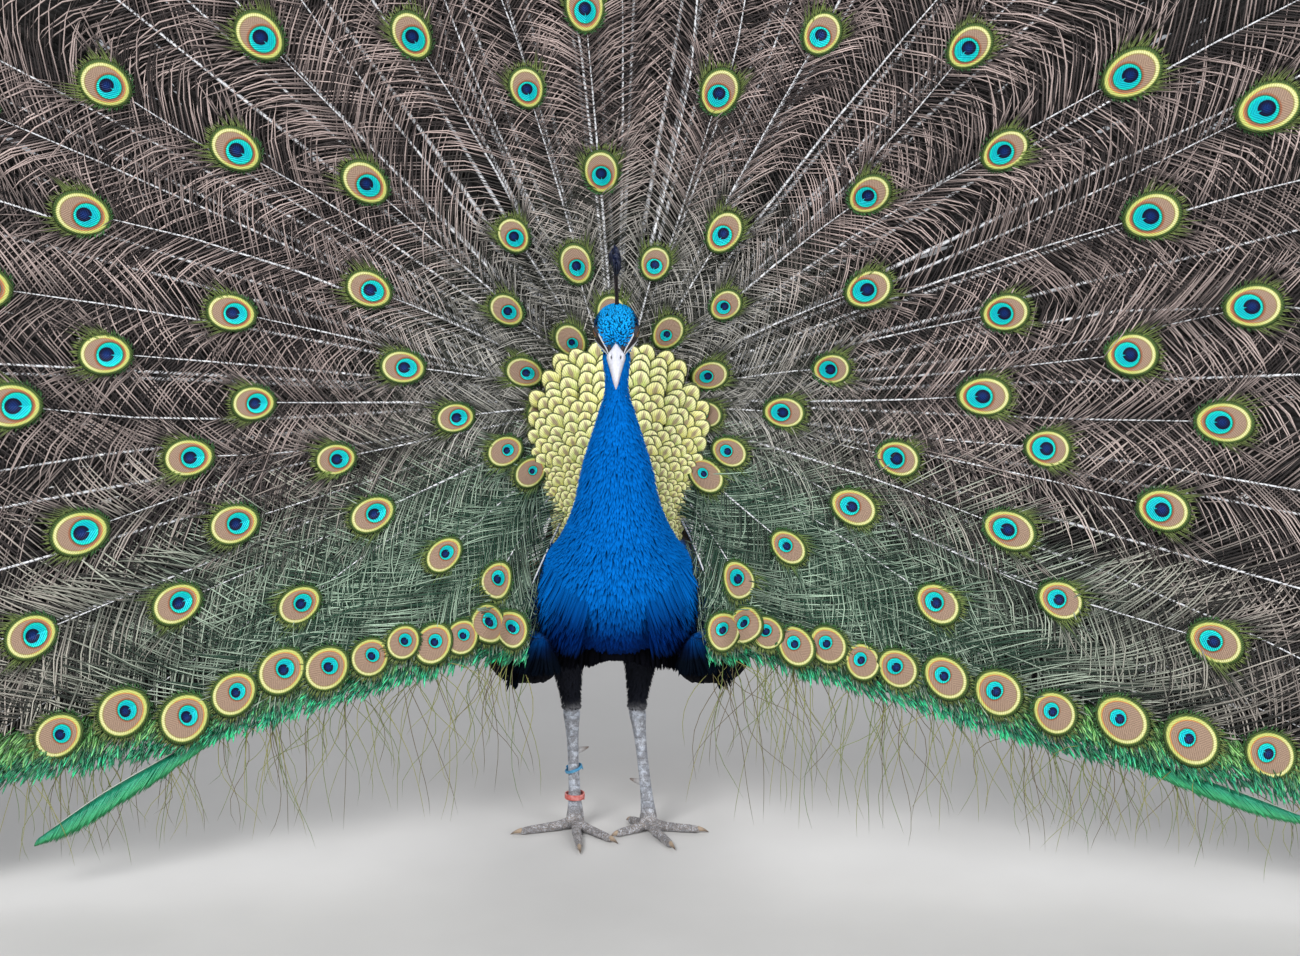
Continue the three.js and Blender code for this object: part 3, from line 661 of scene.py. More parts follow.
def ring_shares(shares, sides=3):
    """Where each point of a spindle lies along it, from 0 at the root to 1 at the tip."""
    return np.concatenate([[0], np.repeat(shares[1:-1], sides), [1]])


def sideways(middle, out):
    """The direction across each spindle, square to its run and to out, and out made square
    to both."""
    run = unit(np.gradient(middle, axis=1))
    across = unit(np.cross(out, run))
    return across, np.cross(run, across)


def patches(roots, shares, spread=0.0015):
    """A small patch on the bake map for each spindle, at its root's place."""
    count, points = len(roots), len(shares)
    shift = np.stack([np.tile([-1, 0, 1], points)[:points], 2 * shares - 1], 1) * spread
    return (np.clip(roots, 0.004, 0.996)[:, None] + shift[None]).reshape(count * points, 2)


draw = np.random.default_rng(11)
tilt = np.linspace(-CREST_SPREAD, CREST_SPREAD, CREST_SHAFTS) + draw.normal(0, 0.02, CREST_SHAFTS)
height = CREST_HEIGHT * draw.uniform(0.86, 1.0, CREST_SHAFTS)
sway = draw.normal(-1.0, 2.0, CREST_SHAFTS)
twist = draw.normal(0, 0.8, (CREST_SHAFTS, 1, 1))
foot = draw.normal(0, 1.1, CREST_SHAFTS)
SHAFT_SHARES = np.array([0, 0.04, 0.3, 0.6, 0.85, 1])


def crest_line(shares, low, high):
    """Points along each shaft, from low to high in mm of its radius, bowed a little."""
    radius = low[:, None] + (high - low)[:, None] * shares
    bow = tilt[:, None] + 0.05 * np.sin(np.pi * radius / CREST_HEIGHT)
    aside = foot[:, None] + (sway - foot)[:, None] * radius / CREST_HEIGHT
    return np.stack([aside, CREST_FOOT[0] + radius * np.sin(bow),
                     CREST_FOOT[1] + radius * np.cos(bow)], -1)


stems = crest_line(SHAFT_SHARES, 0 * height, height - 3)
stem_parts = [spindles(stems, *sideways(stems, [1, 0, 0]), 0.6, 0.7)]
SPOON_SHARES = np.array([0, 0.2, 0.55, 0.85, 1])
SPOON = np.array([0, 2.0, 4.6, 3.6, 0])
crest_tints = [np.tile(mixed((0.022, 0.010, 0.010), (0.003, 0.003, 0.006),
                             ring_shares(SHAFT_SHARES)), (CREST_SHAFTS, 1))]
for shift in (-0.5, 0.5):
    blades = crest_line(SPOON_SHARES, height - CREST_VANE, height) + [shift, 0, 0]
    facing = np.sign(shift) * (np.cos(twist) * [1, 0, 0] + np.sin(twist) * [0, 1, 0])
    stem_parts.append(spindles(blades, *sideways(blades, facing), SPOON, 0.9))
    crest_tints.append(np.tile(mixed((0.001, 0.002, 0.012), (0.001, 0.008, 0.045),
                                     ring_shares(SPOON_SHARES) ** 2), (CREST_SHAFTS, 1)))
points, faces = joined(stem_parts)
crest_bake = np.concatenate([
    patches(np.stack([np.linspace(0.1, 0.9, CREST_SHAFTS), np.full(CREST_SHAFTS, row)], 1),
            ring_shares(shares), 0.01)
    for row, shares in ((0.2, SHAFT_SHARES), (0.5, SPOON_SHARES), (0.8, SPOON_SHARES))])
new_piece("crest_feathers", points, faces,
          finish_of("crest gloss", tinted(1200, 3.0, 0.6, 0.8, 0.35, 0.3)),
          "crest_feather", ["crest"], bake=crest_bake, tint=np.concatenate(crest_tints))

# ---------------------------------------------------------------- head, neck and body coat
# Small curled feathers on the crown, narrow velvety ones down the neck, and broader soft
# ones over the breast, belly and rump, each over the root of the next.
LEAF = [(0, 0), (0.22, 0.75), (0.6, 1.0), (0.88, 0.62), (1, 0)]      # share of length, of width
SLIM_LEAF = [(0, 0), (0.35, 0.95), (0.8, 0.85), (1, 0)]


def rows_over(surface, t_from, t_to, gap, draw, overlap=0.75):
    """Roots in staggered rows over a surface, gap(t) mm apart in each row and overlap times
    as far from row to row: the places t and the angles."""
    found, t, row = [], t_from, 0
    while t < t_to:
        ring = surface(np.full(48, t), turn)
        ahead = surface(np.full(48, t + 0.01), turn)
        girth = np.linalg.norm(ring - np.roll(ring, 1, 0), axis=1).sum()
        pace = np.linalg.norm(ahead - ring, axis=1).max() / 0.01
        count = max(int(girth / gap(t)), 3)
        angle = (np.arange(count) + 0.5 * (row % 2) + draw.normal(0, 0.16, count)) / count
        step = gap(t) * overlap / max(pace, 1.0)
        found.append(np.stack([t + step * draw.normal(0, 0.25, count),
                               2 * np.pi * angle - np.pi], 1))
        t, row = t + step, row + 1
    return columns(np.concatenate(found))


def vanes(surface, t, angle, length, width, lift, heading=1.0, veer=0.0, leaf=LEAF, thick=0.3):
    """Closed leaf-shaped vanes that follow a surface from their roots, towards higher t if
    heading is 1, turned by veer. A vane's middle line stands lift[0] above the surface at
    its root and lift[1] at its tip, rising with the square of the share of its length."""
    shares, widths = columns(np.array(leaf))
    step = 0.02
    pace = np.linalg.norm(surface(t + step, angle) - surface(t, angle), axis=-1) / step
    girth = np.linalg.norm(surface(t, angle + step) - surface(t, angle), axis=-1) / step
    run = length[:, None] * shares
    veer = np.broadcast_to(veer, t.shape)[:, None]
    places = t[:, None] + heading * np.cos(veer) * run / np.maximum(pace, 2)[:, None]
    turns = angle[:, None] + np.sin(veer) * run / np.maximum(girth, 8)[:, None]
    middle = surface(places, turns)
    out = unit(surface(places, turns, 1.0) - middle)
    low, high = (np.broadcast_to(k, t.shape)[:, None] for k in lift)
    middle = middle + out * (low + (high - low) * shares ** 2)[..., None]
    across, out = sideways(middle, out)
    return spindles(middle, across, out, width[:, None] / 2 * widths, thick), ring_shares(shares)


def coat_paint(gloss, contrast, bump):
    def paint(s):
        grain = s.noise(bump, 4)
        patch = s.noise(45, 2)
        level = (1 - contrast) + contrast * (grain + patch)
        return {"Base Color": level.shaded(s.mark("tint")), "Roughness": gloss + 0.25 * grain,
                "Height": grain}
    return paint


def lay_coat(name, slot, finish, surface, t, angle, tint, shape, span, smooth=False, **how):
    """Feathers of one part of the coat as one piece: shape holds length, width and lifts,
    span the rows of the surface that the bake map covers, and tint(roots, shares, chance)
    gives the colours."""
    length, width, lift = shape           # numbers, or one for each feather
    chance = draw.uniform(0, 1, len(t))
    size = 1 + 0.3 * (chance - 0.5)
    roots = surface(t, angle)
    (points, faces), shares = vanes(surface, t, angle, length * size, width * size, lift, **how)
    colours = tint(np.repeat(roots, len(shares), 0), np.tile(shares, len(t)),
                   np.repeat(chance, len(shares)))
    unwrap = np.stack([angle / (2 * np.pi) + 0.5, (t - span[0]) / (span[1] - span[0])], 1)
    return new_piece(name, points, faces, finish, slot, smooth=smooth, tint=colours,
                     bake=patches(unwrap % 1.0, shares))


velvet = finish_of("velvety blue", coat_paint(0.6, 0.3, 1400), Sheen_Weight=0.03,
                   Sheen_Roughness=0.4, Sheen_Tint=(0.02, 0.35, 1.0, 1), Specular_IOR_Level=0.08,
                   Specular_Tint=(0.1, 0.5, 1.0, 1))
curls = finish_of("curled azure gloss", coat_paint(0.30, 0.5, 2200), Specular_IOR_Level=0.45,
                  Specular_Tint=(0.2, 0.65, 1.0, 1))
down = finish_of("soft dull down", coat_paint(0.75, 0.5, 900), Sheen_Weight=0.01,
                 Specular_IOR_Level=0.04)


def streaked(dark, light, spread=0.5):
    """The plumage colour, from dark at the roots to light at the tips of the feathers, each
    up to half of spread lighter or darker."""
    def tint(roots, shares, chance):
        level = dark + (light - dark) * smooth_step(0.1, 0.9, shares)
        return plumage(roots) * (level * (1 + spread * (chance - 0.5)))[:, None]
    return tint


draw = np.random.default_rng(21)
t, angle = rows_over(head_surface, 0.25, 6.75, lambda t: 2.1 - 0.5 * smooth_step(3.5, 6.5, t), draw)
bare = (t > FACE_FROM + 0.05) & (np.abs(angle) > np.radians(52) + 0.06 * (t - 3)) & (
    np.abs(angle) < np.radians(128))
sunk = (t > 6.2) & (np.abs(angle) < np.radians(75))
t, angle = t[~bare & ~sunk], angle[~bare & ~sunk]
small = 1 - 0.35 * smooth_step(3.5, 6.5, t)
lay_coat("crown_feathers", "crown_feather", curls, head_surface, t, angle,
         streaked(0.15, 1.6, 0.7), (3.6 * small, 2.3 * small, (-0.8, 1.3)), (0, 7), True, heading=-1.0,
         veer=draw.normal(0, 0.6, len(t)), thick=0.5)

t, angle = rows_over(body_surface, 0.0, 5.2, lambda t: 2.5 + 0.17 * t, draw, 0.95)
lay_coat("neck_feathers", "neck_feather", velvet, body_surface, t, angle,
         streaked(0.75, 1.08, 0.25),
         (7 + 1.5 * t, 2.2 + 0.24 * t, (-5.0, -2.0 + 2.1 * smooth_step(0.8, 4, t))), (0, 5.2),
         veer=draw.normal(0, 0.13, len(t)), leaf=SLIM_LEAF)

t, angle = rows_over(body_surface, 5.0, 8.6, lambda t: 3.5 + 0.35 * (t - 5), draw, 1.0)
lay_coat("breast_feathers", "neck_feather", velvet, body_surface, t, angle,
         streaked(0.78, 1.06, 0.25), (14 + 2.5 * (t - 5), 3.5 + 0.6 * (t - 5), (-6.0, 0.2)),
         (5, 8.6), veer=draw.normal(0, 0.13, len(t)), leaf=SLIM_LEAF)

t, angle = rows_over(body_surface, 8.4, 13.7, lambda t: 7.0, draw, 0.9)
lay_coat("trunk_feathers", "body_feather", down, body_surface, t, angle, streaked(0.5, 1.4),
         (24, 8.5, (-6.0, 2.5)), (8.4, 14), veer=draw.normal(0, 0.25, len(t)), leaf=SLIM_LEAF)

# ---------------------------------------------------------------- flanks
# Long soft feathers hang over the sides of the breast, the belly and the bends of the
# wings, blue above and black below, down to one ragged hem.
# Rows of the hem: distance from the midline and height.
HEM = [(0, 204), (10, 203), (35, 194), (75, 188), (106, 189), (113, 168), (120, 192), (152, 212)]
HEM_SHARES = np.array([0, 0.25, 0.6, 0.88, 1])


def hanging(name, count, surface, t, degrees, deep, outward, breadth, longest, lowest, tint, finish):
    """Feathers of each side that hang from random roots on a surface, between two places t
    and two angles, sunk by a depth, leaning outward and ending near the hem."""
    for side_name, side in SIDES.items():
        draw = np.random.default_rng(27)
        place = draw.uniform(*t, count)
        angle = np.radians(draw.uniform(*degrees, count))
        if surface is body_surface:
            angle, lay = side * angle, surface
        else:
            lay = surface(side_name)
        root = lay(place, angle, deep)
        out = unit(lay(place, angle, 1) - lay(place, angle))
        way = unit(np.array([side * outward, 0, -0.95]) + 0.22 * out
                   + draw.normal(0, 0.07, (count, 3)))
        hem = read(HEM, np.abs(root[:, 0])) - 0.2 * root[:, 1].clip(None, 0)
        room = (root[:, 2] - np.maximum(hem, lowest)) * draw.uniform(0.93, 1.04, count)
        length = np.clip(room, 0, longest)
        kept = length > 7
        root, out, way, length = (k[kept] for k in (root, out, way, length))
        line = root[:, None] + way[:, None] * (length[:, None] * HEM_SHARES)[..., None]
        across, facing = sideways(line, unit(out + [0.3 * side, -0.9, 0.1])[:, None])
        half = breadth * draw.uniform(0.7, 1.3, (len(root), 1)) * np.array([0, 0.8, 1.0, 0.6, 0])
        marks = ring_shares(HEM_SHARES)
        points, faces = spindles(line, across, facing, half, 0.5)
        level = np.repeat(draw.uniform(0.65, 1.0, len(root)), len(marks))[:, None]
        unwrap = np.stack([angle / (2 * np.pi) + 0.5, place / 14], 1)[kept]
        new_piece(f"{name}_{side_name}", points, faces, finish, "body_feather", smooth=False,
                  tint=tint(points) * level, bake=patches(unwrap % 1.0, marks))


def black(points):
    """Soot at every place."""
    return np.tile(np.array(SOOT) * 1.1, (len(points), 1))


hanging("flank_feathers", 1300, body_surface, (6.3, 8.8), (26, 88), -4.0, 0.22, 1.6, 40, 218, plumage,
        velvet)
hanging("belly_feathers", 700, body_surface, (7.2, 9.6), (-8, 58), -4.0, 0.0, 2.8, 46, 0, black, down)
hanging("wing_front_feathers", 1200, wing_surface, (0.0, 2.9), (-100, 165), -3.0, 0.12, 2.0, 40, 0,
        plumage, velvet)

# ---------------------------------------------------------------- wings
# Scapulars and coverts are buff, barred with dark brown. The quills fold below them, with
# chestnut primaries to the rear, and the front of the wing is coloured as the flanks are.
BUFF = (0.36, 0.26, 0.16)
UMBER = (0.028, 0.018, 0.012)
CHESTNUT = (0.22, 0.075, 0.022)


def wing_tint(roots, shares, chance):
    """Buff crossed by wavy dark bars, turning to chestnut to the rear and dark in front, where the
    plumage's colour paints the wing's front black as shade.
    """
    x, y, z = columns(roots)
    bars = smooth_step(-0.2, 0.3, np.sin(shares * 13 + 5 * chance + 0.12 * z))
    colour = mixed(BUFF, UMBER, bars)
    quills = smooth_step(110, 170, y) * smooth_step(200, 150, z)
    colour = mixed(colour, CHESTNUT, quills)
    return mixed(colour, plumage(roots), smooth_step(95, 45, y)) * (0.8 + 0.4 * chance)[:, None]


WING_LEAF = [(0, 0), (0.25, 0.85), (0.6, 1.0), (0.9, 0.75), (1, 0)]
for name in SIDES:
    draw = np.random.default_rng(31)
    surface = wing_surface(name)
    t, angle = rows_over(surface, 0.5, 6.2, lambda t: 8 + 0.8 * t, draw, 0.9)
    lay_coat("wing_coverts_" + name, "wing_feather", down, surface, t, angle, wing_tint,
             (22 + 3 * t, 11 + 0.9 * t, (-4.8, -1.8 + 3.0 * smooth_step(1.5, 3.5, t))), (0, 7),
             leaf=WING_LEAF, veer=draw.normal(0, 0.12, len(t)))
    t = np.linspace(3.6, 4.9, 16)
    angle = np.radians(np.linspace(-62, 24, 16))
    lay_coat("wing_quills_" + name, "wing_feather", down, surface, t, angle, wing_tint,
             (105, 17, (-1.5, 0.5)), (0, 7), leaf=WING_LEAF, thick=0.6)

# ---------------------------------------------------------------- thighs
# Short fluffy black feathers cover the thighs. They end in a ragged grey cuff of down just
# above the ankle.
CUFF = 152, 137                       # heights between which the black turns to grey down


def thigh_tint(roots, shares, chance):
    """Soot, with grey down at the cuff."""
    cuff = smooth_step(*CUFF, columns(roots)[2])
    grey = mixed((0.010, 0.011, 0.016), (0.16, 0.16, 0.17), cuff * (0.3 + 0.7 * chance))
    return grey * (0.5 + shares)[:, None]


for name in SIDES:
    draw = np.random.default_rng(41)
    surface = thigh_surface(name)
    t, angle = rows_over(surface, 0.35, 4.9, lambda t: 3.4, draw, 1.0)
    lay_coat("thigh_feathers_" + name, "thigh_feather", down, surface, t, angle, thigh_tint,
             (13, 3.6, (-3.0, 1.6)), (0, 5), heading=-1.0,
             veer=draw.normal(0, 0.3, len(t)), leaf=SLIM_LEAF)

# ---------------------------------------------------------------- legs and feet
# Bare pale grey skin in broad horny plates down the front of the shank and across the
# top of each toe, with fine scales between them.
# Rows of the shank: height, half width and half depth.
SHANK = [[2, 9.6, 10.2], [14.3, 8.8, 9.4], [26, 7.4, 8.2], [52, 6.4, 7.6], [87, 6.5, 7.8],
         [110, 8, 9], [122, 9.6, 10.6], [131, 9.2, 10], [139, 8.4, 9.2]]
SHANK_FOOT, SHANK_TOP = 14, 131
# Rows of the ball of the foot: the same, over the floor.
HUB = [[1, 6, 7], [5, 9.4, 10], [10, 10.2, 10.4], [16, 9.8, 10.2], [24, 8, 8.6]]
# Rows of a toe: share of its length, height of its middle over the floor, half width and
# half height.
TOE = [[0, 9, 6.5, 8], [0.2, 6.5, 5, 6.4], [0.36, 4.6, 5.6, 6], [0.5, 4.6, 4.6, 5.6],
       [0.64, 4.2, 5, 5.2], [0.8, 4.2, 4, 5], [0.92, 3.6, 4.1, 4.6], [1, 3.4, 2.8, 3]]
# Each toe: direction in degrees from straight ahead to the bird's left, and length.
TOES = {"right": {"outer": (-70, 78), "middle": (5, 90), "inner": (41, 76), "hind": (168, 36)},
        "left": {"outer": (80, 70), "middle": (23, 78), "inner": (-56, 52), "hind": (222, 38)}}
CLAW_SHARE = 0.16
PLATE_PITCH, BAR_PITCH = 7.0, 4.2     # from plate to plate down the shank and along a toe
GROOVE_DEPTH = 0.55


def shank_centre(side, z):
    """The middle of the shank at a height, on a straight line from foot to ankle."""
    share = (z - SHANK_FOOT) / (SHANK_TOP - SHANK_FOOT)
    x, y = FOOT[side][0], FOOT[side][1] + 4
    return x + share * (ANKLE[side][0] - x), y + share * (ANKLE[side][1] - y)


def toe_point(side, degrees, run, across, z):
    """A place on a toe: a distance out from the middle of the foot, across it, and a height
    over the floor."""
    way = np.radians(degrees)
    run, across, z = np.broadcast_arrays(run, across, z)
    return np.stack([FOOT[side][0] + run * np.sin(way) + across * np.cos(way),
                     FOOT[side][1] - run * np.cos(way) + across * np.sin(way), z + FLOOR], -1)


def leg_paint(s):
    groove, tone, _ = s.mark("place", 1).parts()
    grain = s.noise(700, 4)
    cells = s.node("TexVoronoi", {"feature": "DISTANCE_TO_EDGE"}, {
        "Vector": s.node("TexCoord", out=3), "Scale": 620.0})
    horn = tone.blend((0.24, 0.19, 0.155), (0.44, 0.485, 0.57))
    horn = grain.step(0.35, 0.75).blend(horn, (0.68, 0.72, 0.80))
    horn = (s.noise(170, 3).step(0.60, 0.42) * 0.6).blend(horn, (0.12, 0.115, 0.12))
    lines = cells.step(0.08, 0.0) * 0.5
    colour = (1 - (1 - groove) * (1 - lines)).blend(horn, (0.10, 0.09, 0.09))
    return {"Base Color": colour, "Roughness": 0.42 + 0.3 * grain,
            "Height": grain * 0.4 + cells.step(0.0, 0.2)}


leg_finish = finish_of("leg skin in plates", leg_paint, Specular_IOR_Level=0.45)
for name in SIDES:
    place, angle = round_rows(SHANK, 60)
    z, half, depth = columns(along(SHANK, place))
    x, y = shank_centre(name, np.maximum(z, SHANK_FOOT))
    parts = [closed_tube(np.stack([x + half * np.cos(angle), y + depth * np.sin(angle), z], -1))]
    place, angle = round_rows(HUB, 14)
    z, half, depth = columns(along(HUB, place))
    parts.append(closed_tube(np.stack([FOOT[name][0] + half * np.cos(angle),
                                       FOOT[name][1] + 0.2 * z + depth * np.sin(angle),
                                       z + FLOOR], -1)))
    for degrees, length in TOES[name].values():
        place, angle = round_rows(TOE, 60)
        share, middle, half, height = columns(along(TOE, place))
        parts.append(closed_tube(toe_point(
            name, degrees, share * length * (1 - CLAW_SHARE) * 1.01, half * np.cos(angle),
            np.maximum(middle + height * np.sin(angle), 0.4))))
    leg = new_piece("leg_skin_" + name, *joined(parts), leg_finish, "leg_skin",
                    ["shank_" + name, "foot_" + name])
    points = one_skin(leg, 0.0010, 3)
    normal = points_of(leg.data, "normal")
    x, y, z = columns(points)
    cx, cy = shank_centre(name, z)
    front = smooth_step(0.15, 0.6, np.abs((y - cy)) / np.hypot(x - cx, y - cy))
    down_shank = np.abs(np.sin(np.pi * (z + 0.06 * (x - cx) ** 2 + 1.6 * np.sin(z / 9.0))
                               / PLATE_PITCH))
    groove = 0.7 * front * (1 - smooth_step(0.0, 0.26, down_shank)) * smooth_step(12, 19, z)
    for degrees, length in TOES[name].values():
        way = np.radians(degrees)
        px, py = x - FOOT[name][0], y - FOOT[name][1]
        run = px * np.sin(way) - py * np.cos(way)
        aside = px * np.cos(way) + py * np.sin(way)
        on_toe = (run > 9) & (np.abs(aside) < 7) & (z < 12)
        bars = np.abs(np.sin(np.pi * (run + 0.05 * aside ** 2) / BAR_PITCH))
        cut = (1 - smooth_step(0.0, 0.36, bars)) * smooth_step(0.1, 0.5, normal[:, 2])
        groove = np.where(on_toe, np.maximum(groove, cut), groove)
    points = points - normal * (GROOVE_DEPTH * groove)[:, None]
    points[:, 2] = np.maximum(points[:, 2], FLOOR)
    leg.data.vertices.foreach_set("co", ((points + SHIFT) / 1000).astype(np.float32).ravel())
    leg.data.update()
    tone = smooth_step(4, 26, z) * (0.85 + 0.15 * np.sin(z * 0.31 + 1.0))
    mark_points(leg.data, place=np.stack([groove, tone, 0 * z], 1))

# ---------------------------------------------------------------- claws and spurs
# Curved claws of brown horn, blunt from use, end the four toes of each foot. A pale pointed
# spur stands out from the inner side of each shank.
SPUR_HEIGHT = {"right": 80, "left": 45}
HORN_SIDES = 20


def horn_rings(line, radius, squash):
    """Rings about a line of points: a circle of the radius at each, flattened sideways."""
    run = unit(np.gradient(line, axis=0))
    across = unit(np.cross(run, [0.0, 0.0, 1.0]))
    up = np.cross(across, run)
    angle = np.linspace(0, 2 * np.pi, HORN_SIDES, endpoint=False)[None, :, None]
    return line[:, None] + radius[:, None, None] * (
        squash * np.cos(angle) * across[:, None] + np.sin(angle) * up[:, None])


def horn_paint(pale, dark):
    def paint(s):
        share = s.mark("place", 1).parts()[0]
        grain = s.noise(520, 4)
        return {"Base Color": (share + 0.4 * grain - 0.2).step(0.25, 0.95).blend(pale, dark),
                "Roughness": 0.3 + 0.3 * grain, "Height": grain}
    return paint


claw_finish = finish_of("brown claw horn", horn_paint((0.36, 0.27, 0.19), (0.10, 0.07, 0.05)))
spur_finish = finish_of("pale spur horn", horn_paint((0.42, 0.41, 0.41), (0.16, 0.12, 0.10)))
share = np.linspace(0, 1, 16)
for name, side in SIDES.items():
    for toe_name, (degrees, length) in TOES[name].items():
        run = length * (1 - CLAW_SHARE) - 1 + share * (length * CLAW_SHARE + 1)
        line = toe_point(name, degrees, run, 0, 4.6 - 3.0 * share ** 2)
        radius = 3.1 * (1 - share) ** 0.8 + 0.25
        points, faces = closed_tube(horn_rings(line, radius, 0.72))
        points[:, 2] = np.maximum(points[:, 2], FLOOR)
        new_piece(f"claw_horn_{name}_{toe_name}", points, faces, claw_finish, "claw_horn",
                  [f"claw_{name}_{toe_name}"], place=tube_mark(np.repeat(share, HORN_SIDES)))
    x, y = shank_centre(name, SPUR_HEIGHT[name])
    out = 3 + share * 15
    line = np.stack([x - side * out, y + 3 + out * 0.35,
                     SPUR_HEIGHT[name] + 2.5 * share ** 2], 1)
    radius = 4.6 * (1 - share) ** 0.75 + 0.3
    points, faces = closed_tube(horn_rings(line, radius, 1.0))
    new_piece("spur_horn_" + name, points, faces, spur_finish, "spur_horn", ["spur_" + name],
              place=tube_mark(np.repeat(share, HORN_SIDES)))

# ---------------------------------------------------------------- leg rings
# A worn blue plastic ring, a flat strip wound a turn and a half and hanging askew, and a
# broad faded red one below it. Both are loose on the right shank.


def ring_paint(pale, deep):
    def paint(s):
        wear = s.noise(260, 5)
        fine = s.noise(1500, 2)
        return {"Base Color": (wear + 0.3 * fine).step(0.45, 0.85).blend(deep, pale),
                "Roughness": 0.38 + 0.35 * wear, "Height": fine}
    return paint


def wound_strip(z, radius, wall, height, tilt, turns, climb):
    """A strip of rounded rectangular section wound round the shank: the radius and height
    follow a superellipse of power 4, and the ring is tilted about the y axis."""
    sweep, angle = gridded(np.linspace(0, 2 * np.pi * turns, int(72 * turns)),
                           np.linspace(0, 2 * np.pi, 24, endpoint=False))
    cos, sin = np.cos(angle), np.sin(angle)
    r = radius + wall / 2 + wall / 2 * np.sign(cos) * np.abs(cos) ** 0.5
    h = height / 2 * np.sign(sin) * np.abs(sin) ** 0.5 + climb * (sweep / (2 * np.pi) - turns / 2)
    x, y = shank_centre("right", z)
    px, pz = r * np.cos(sweep), h
    lean = np.radians(tilt)
    return np.stack([x + px * np.cos(lean) + pz * np.sin(lean), y + r * np.sin(sweep),
                     z - px * np.sin(lean) + pz * np.cos(lean)], -1)


strip = wound_strip(z=60, radius=9.3, wall=1.2, height=3.4, tilt=-16, turns=1.4, climb=3.2)
new_piece("ring_blue_strip", *closed_tube(strip), finish_of(
    "worn blue plastic", ring_paint((0.10, 0.34, 0.52), (0.02, 0.17, 0.36))), "blue_ring",
    ["leg_ring_blue"])
strip = wound_strip(z=29, radius=9.8, wall=1.8, height=6.4, tilt=3, turns=1.25, climb=2.0)
new_piece("ring_red_strip", *closed_tube(strip), finish_of(
    "faded red plastic", ring_paint((0.66, 0.26, 0.24), (0.50, 0.07, 0.05))), "red_ring",
    ["leg_ring_red"])

# ---------------------------------------------------------------- back shield
# Rounded golden-green scale feathers stand up behind the neck, each with a thin dark rim
# and a brown wedge in its middle. The lower ones lie in front of the upper ones.
# Rows of the shield: height, middle y, half width, backward curl of its edges.
SHIELD = [[322, 26, 58, 8], [360, 25, 70, 10], [410, 25, 80, 12], [460, 27, 86, 14],
          [510, 31, 87, 14], [548, 33, 72, 12], [574, 33, 48, 8]]
SCALE_ROWS, SCALE_COLUMNS = 4, 7
SCALE_TURN = np.radians(72)           # how far round the tip of a scale each of its sides goes
SCALES_FROM, SCALES_TO = 296.0, 541   # heights of the lowest and the highest row
SCALE_BREADTH = 10.5, 24              # of the lower and the upper scales
# The half width that the scales reach at a height.
SCALE_EDGE = [(302, 70), (345, 70), (380, 74), (420, 83), (455, 87), (490, 84), (515, 66),
              (540, 50)]


def shield_point(height, across, depth):
    """A place on the shield: its height, the share of its half width and the depth behind."""
    row = np.interp(height, [r[0] for r in SHIELD], np.arange(len(SHIELD)))
    z, y, half, curl = columns(along(SHIELD, row))
    return np.stack([half * across, y + curl * across ** 2 + depth, height], -1)


def domes(middle, run, across, out, length, width):
    """Closed rounded plates: fans of rows from a root to a round tip, domed along out. Gives
    the points, the triangles, each point's place, -1 to 1 across and 0 to 1 along, and the
    number of points in one."""
    along_row = np.linspace(0.05, 1, SCALE_ROWS)
    fan = np.linspace(-1, 1, SCALE_COLUMNS)
    u, v = (k.ravel() for k in gridded(along_row, fan))
    u = u[None, :, None]
    turn_out = (v * SCALE_TURN)[None, :, None]
    length, width = length[:, None, None], width[:, None, None]
    flat = (run[:, None] * length * u * (0.25 + 0.75 * np.cos(turn_out))
            + across[:, None] * width * u ** 0.8 * np.sin(turn_out) / np.sin(SCALE_TURN) * 0.5)
    dome = 0.05 * width * (1 - (v ** 2)[None, :, None]) * np.sin(np.pi * u * 0.62)
    front = middle[:, None] + flat + out[:, None] * (dome + 0.35)
    back = middle[:, None] + flat + out[:, None] * dome
    wide, layer = SCALE_COLUMNS, SCALE_ROWS * SCALE_COLUMNS
    i, j = (k.ravel() for k in gridded(np.arange(SCALE_ROWS - 1), np.arange(SCALE_COLUMNS - 1)))
    a = i * wide + j
    top = np.concatenate([np.stack([a, a + 1, a + wide + 1], 1),
                          np.stack([a, a + wide + 1, a + wide], 1)])
    rim = np.concatenate([np.arange(wide), np.arange(1, SCALE_ROWS) * wide + wide - 1,
                          layer - 1 - np.arange(1, wide), np.arange(SCALE_ROWS - 2, 0, -1) * wide])
    ahead = np.roll(rim, -1)
    wall = np.concatenate([np.stack([rim, rim + layer, ahead + layer], 1),
                           np.stack([rim, ahead + layer, ahead], 1)])
    faces = np.concatenate([top, top[:, ::-1] + layer, wall])
    points = np.concatenate([front, back], 1)
    faces = turned_out(points[0], faces)
    place = np.stack([np.tile(v, 2), np.tile(u[0, :, 0], 2)], 1)
    size, count = 2 * layer, len(middle)
    return points.reshape(-1, 3), copies(faces, size, count), np.tile(place, (count, 1)), size


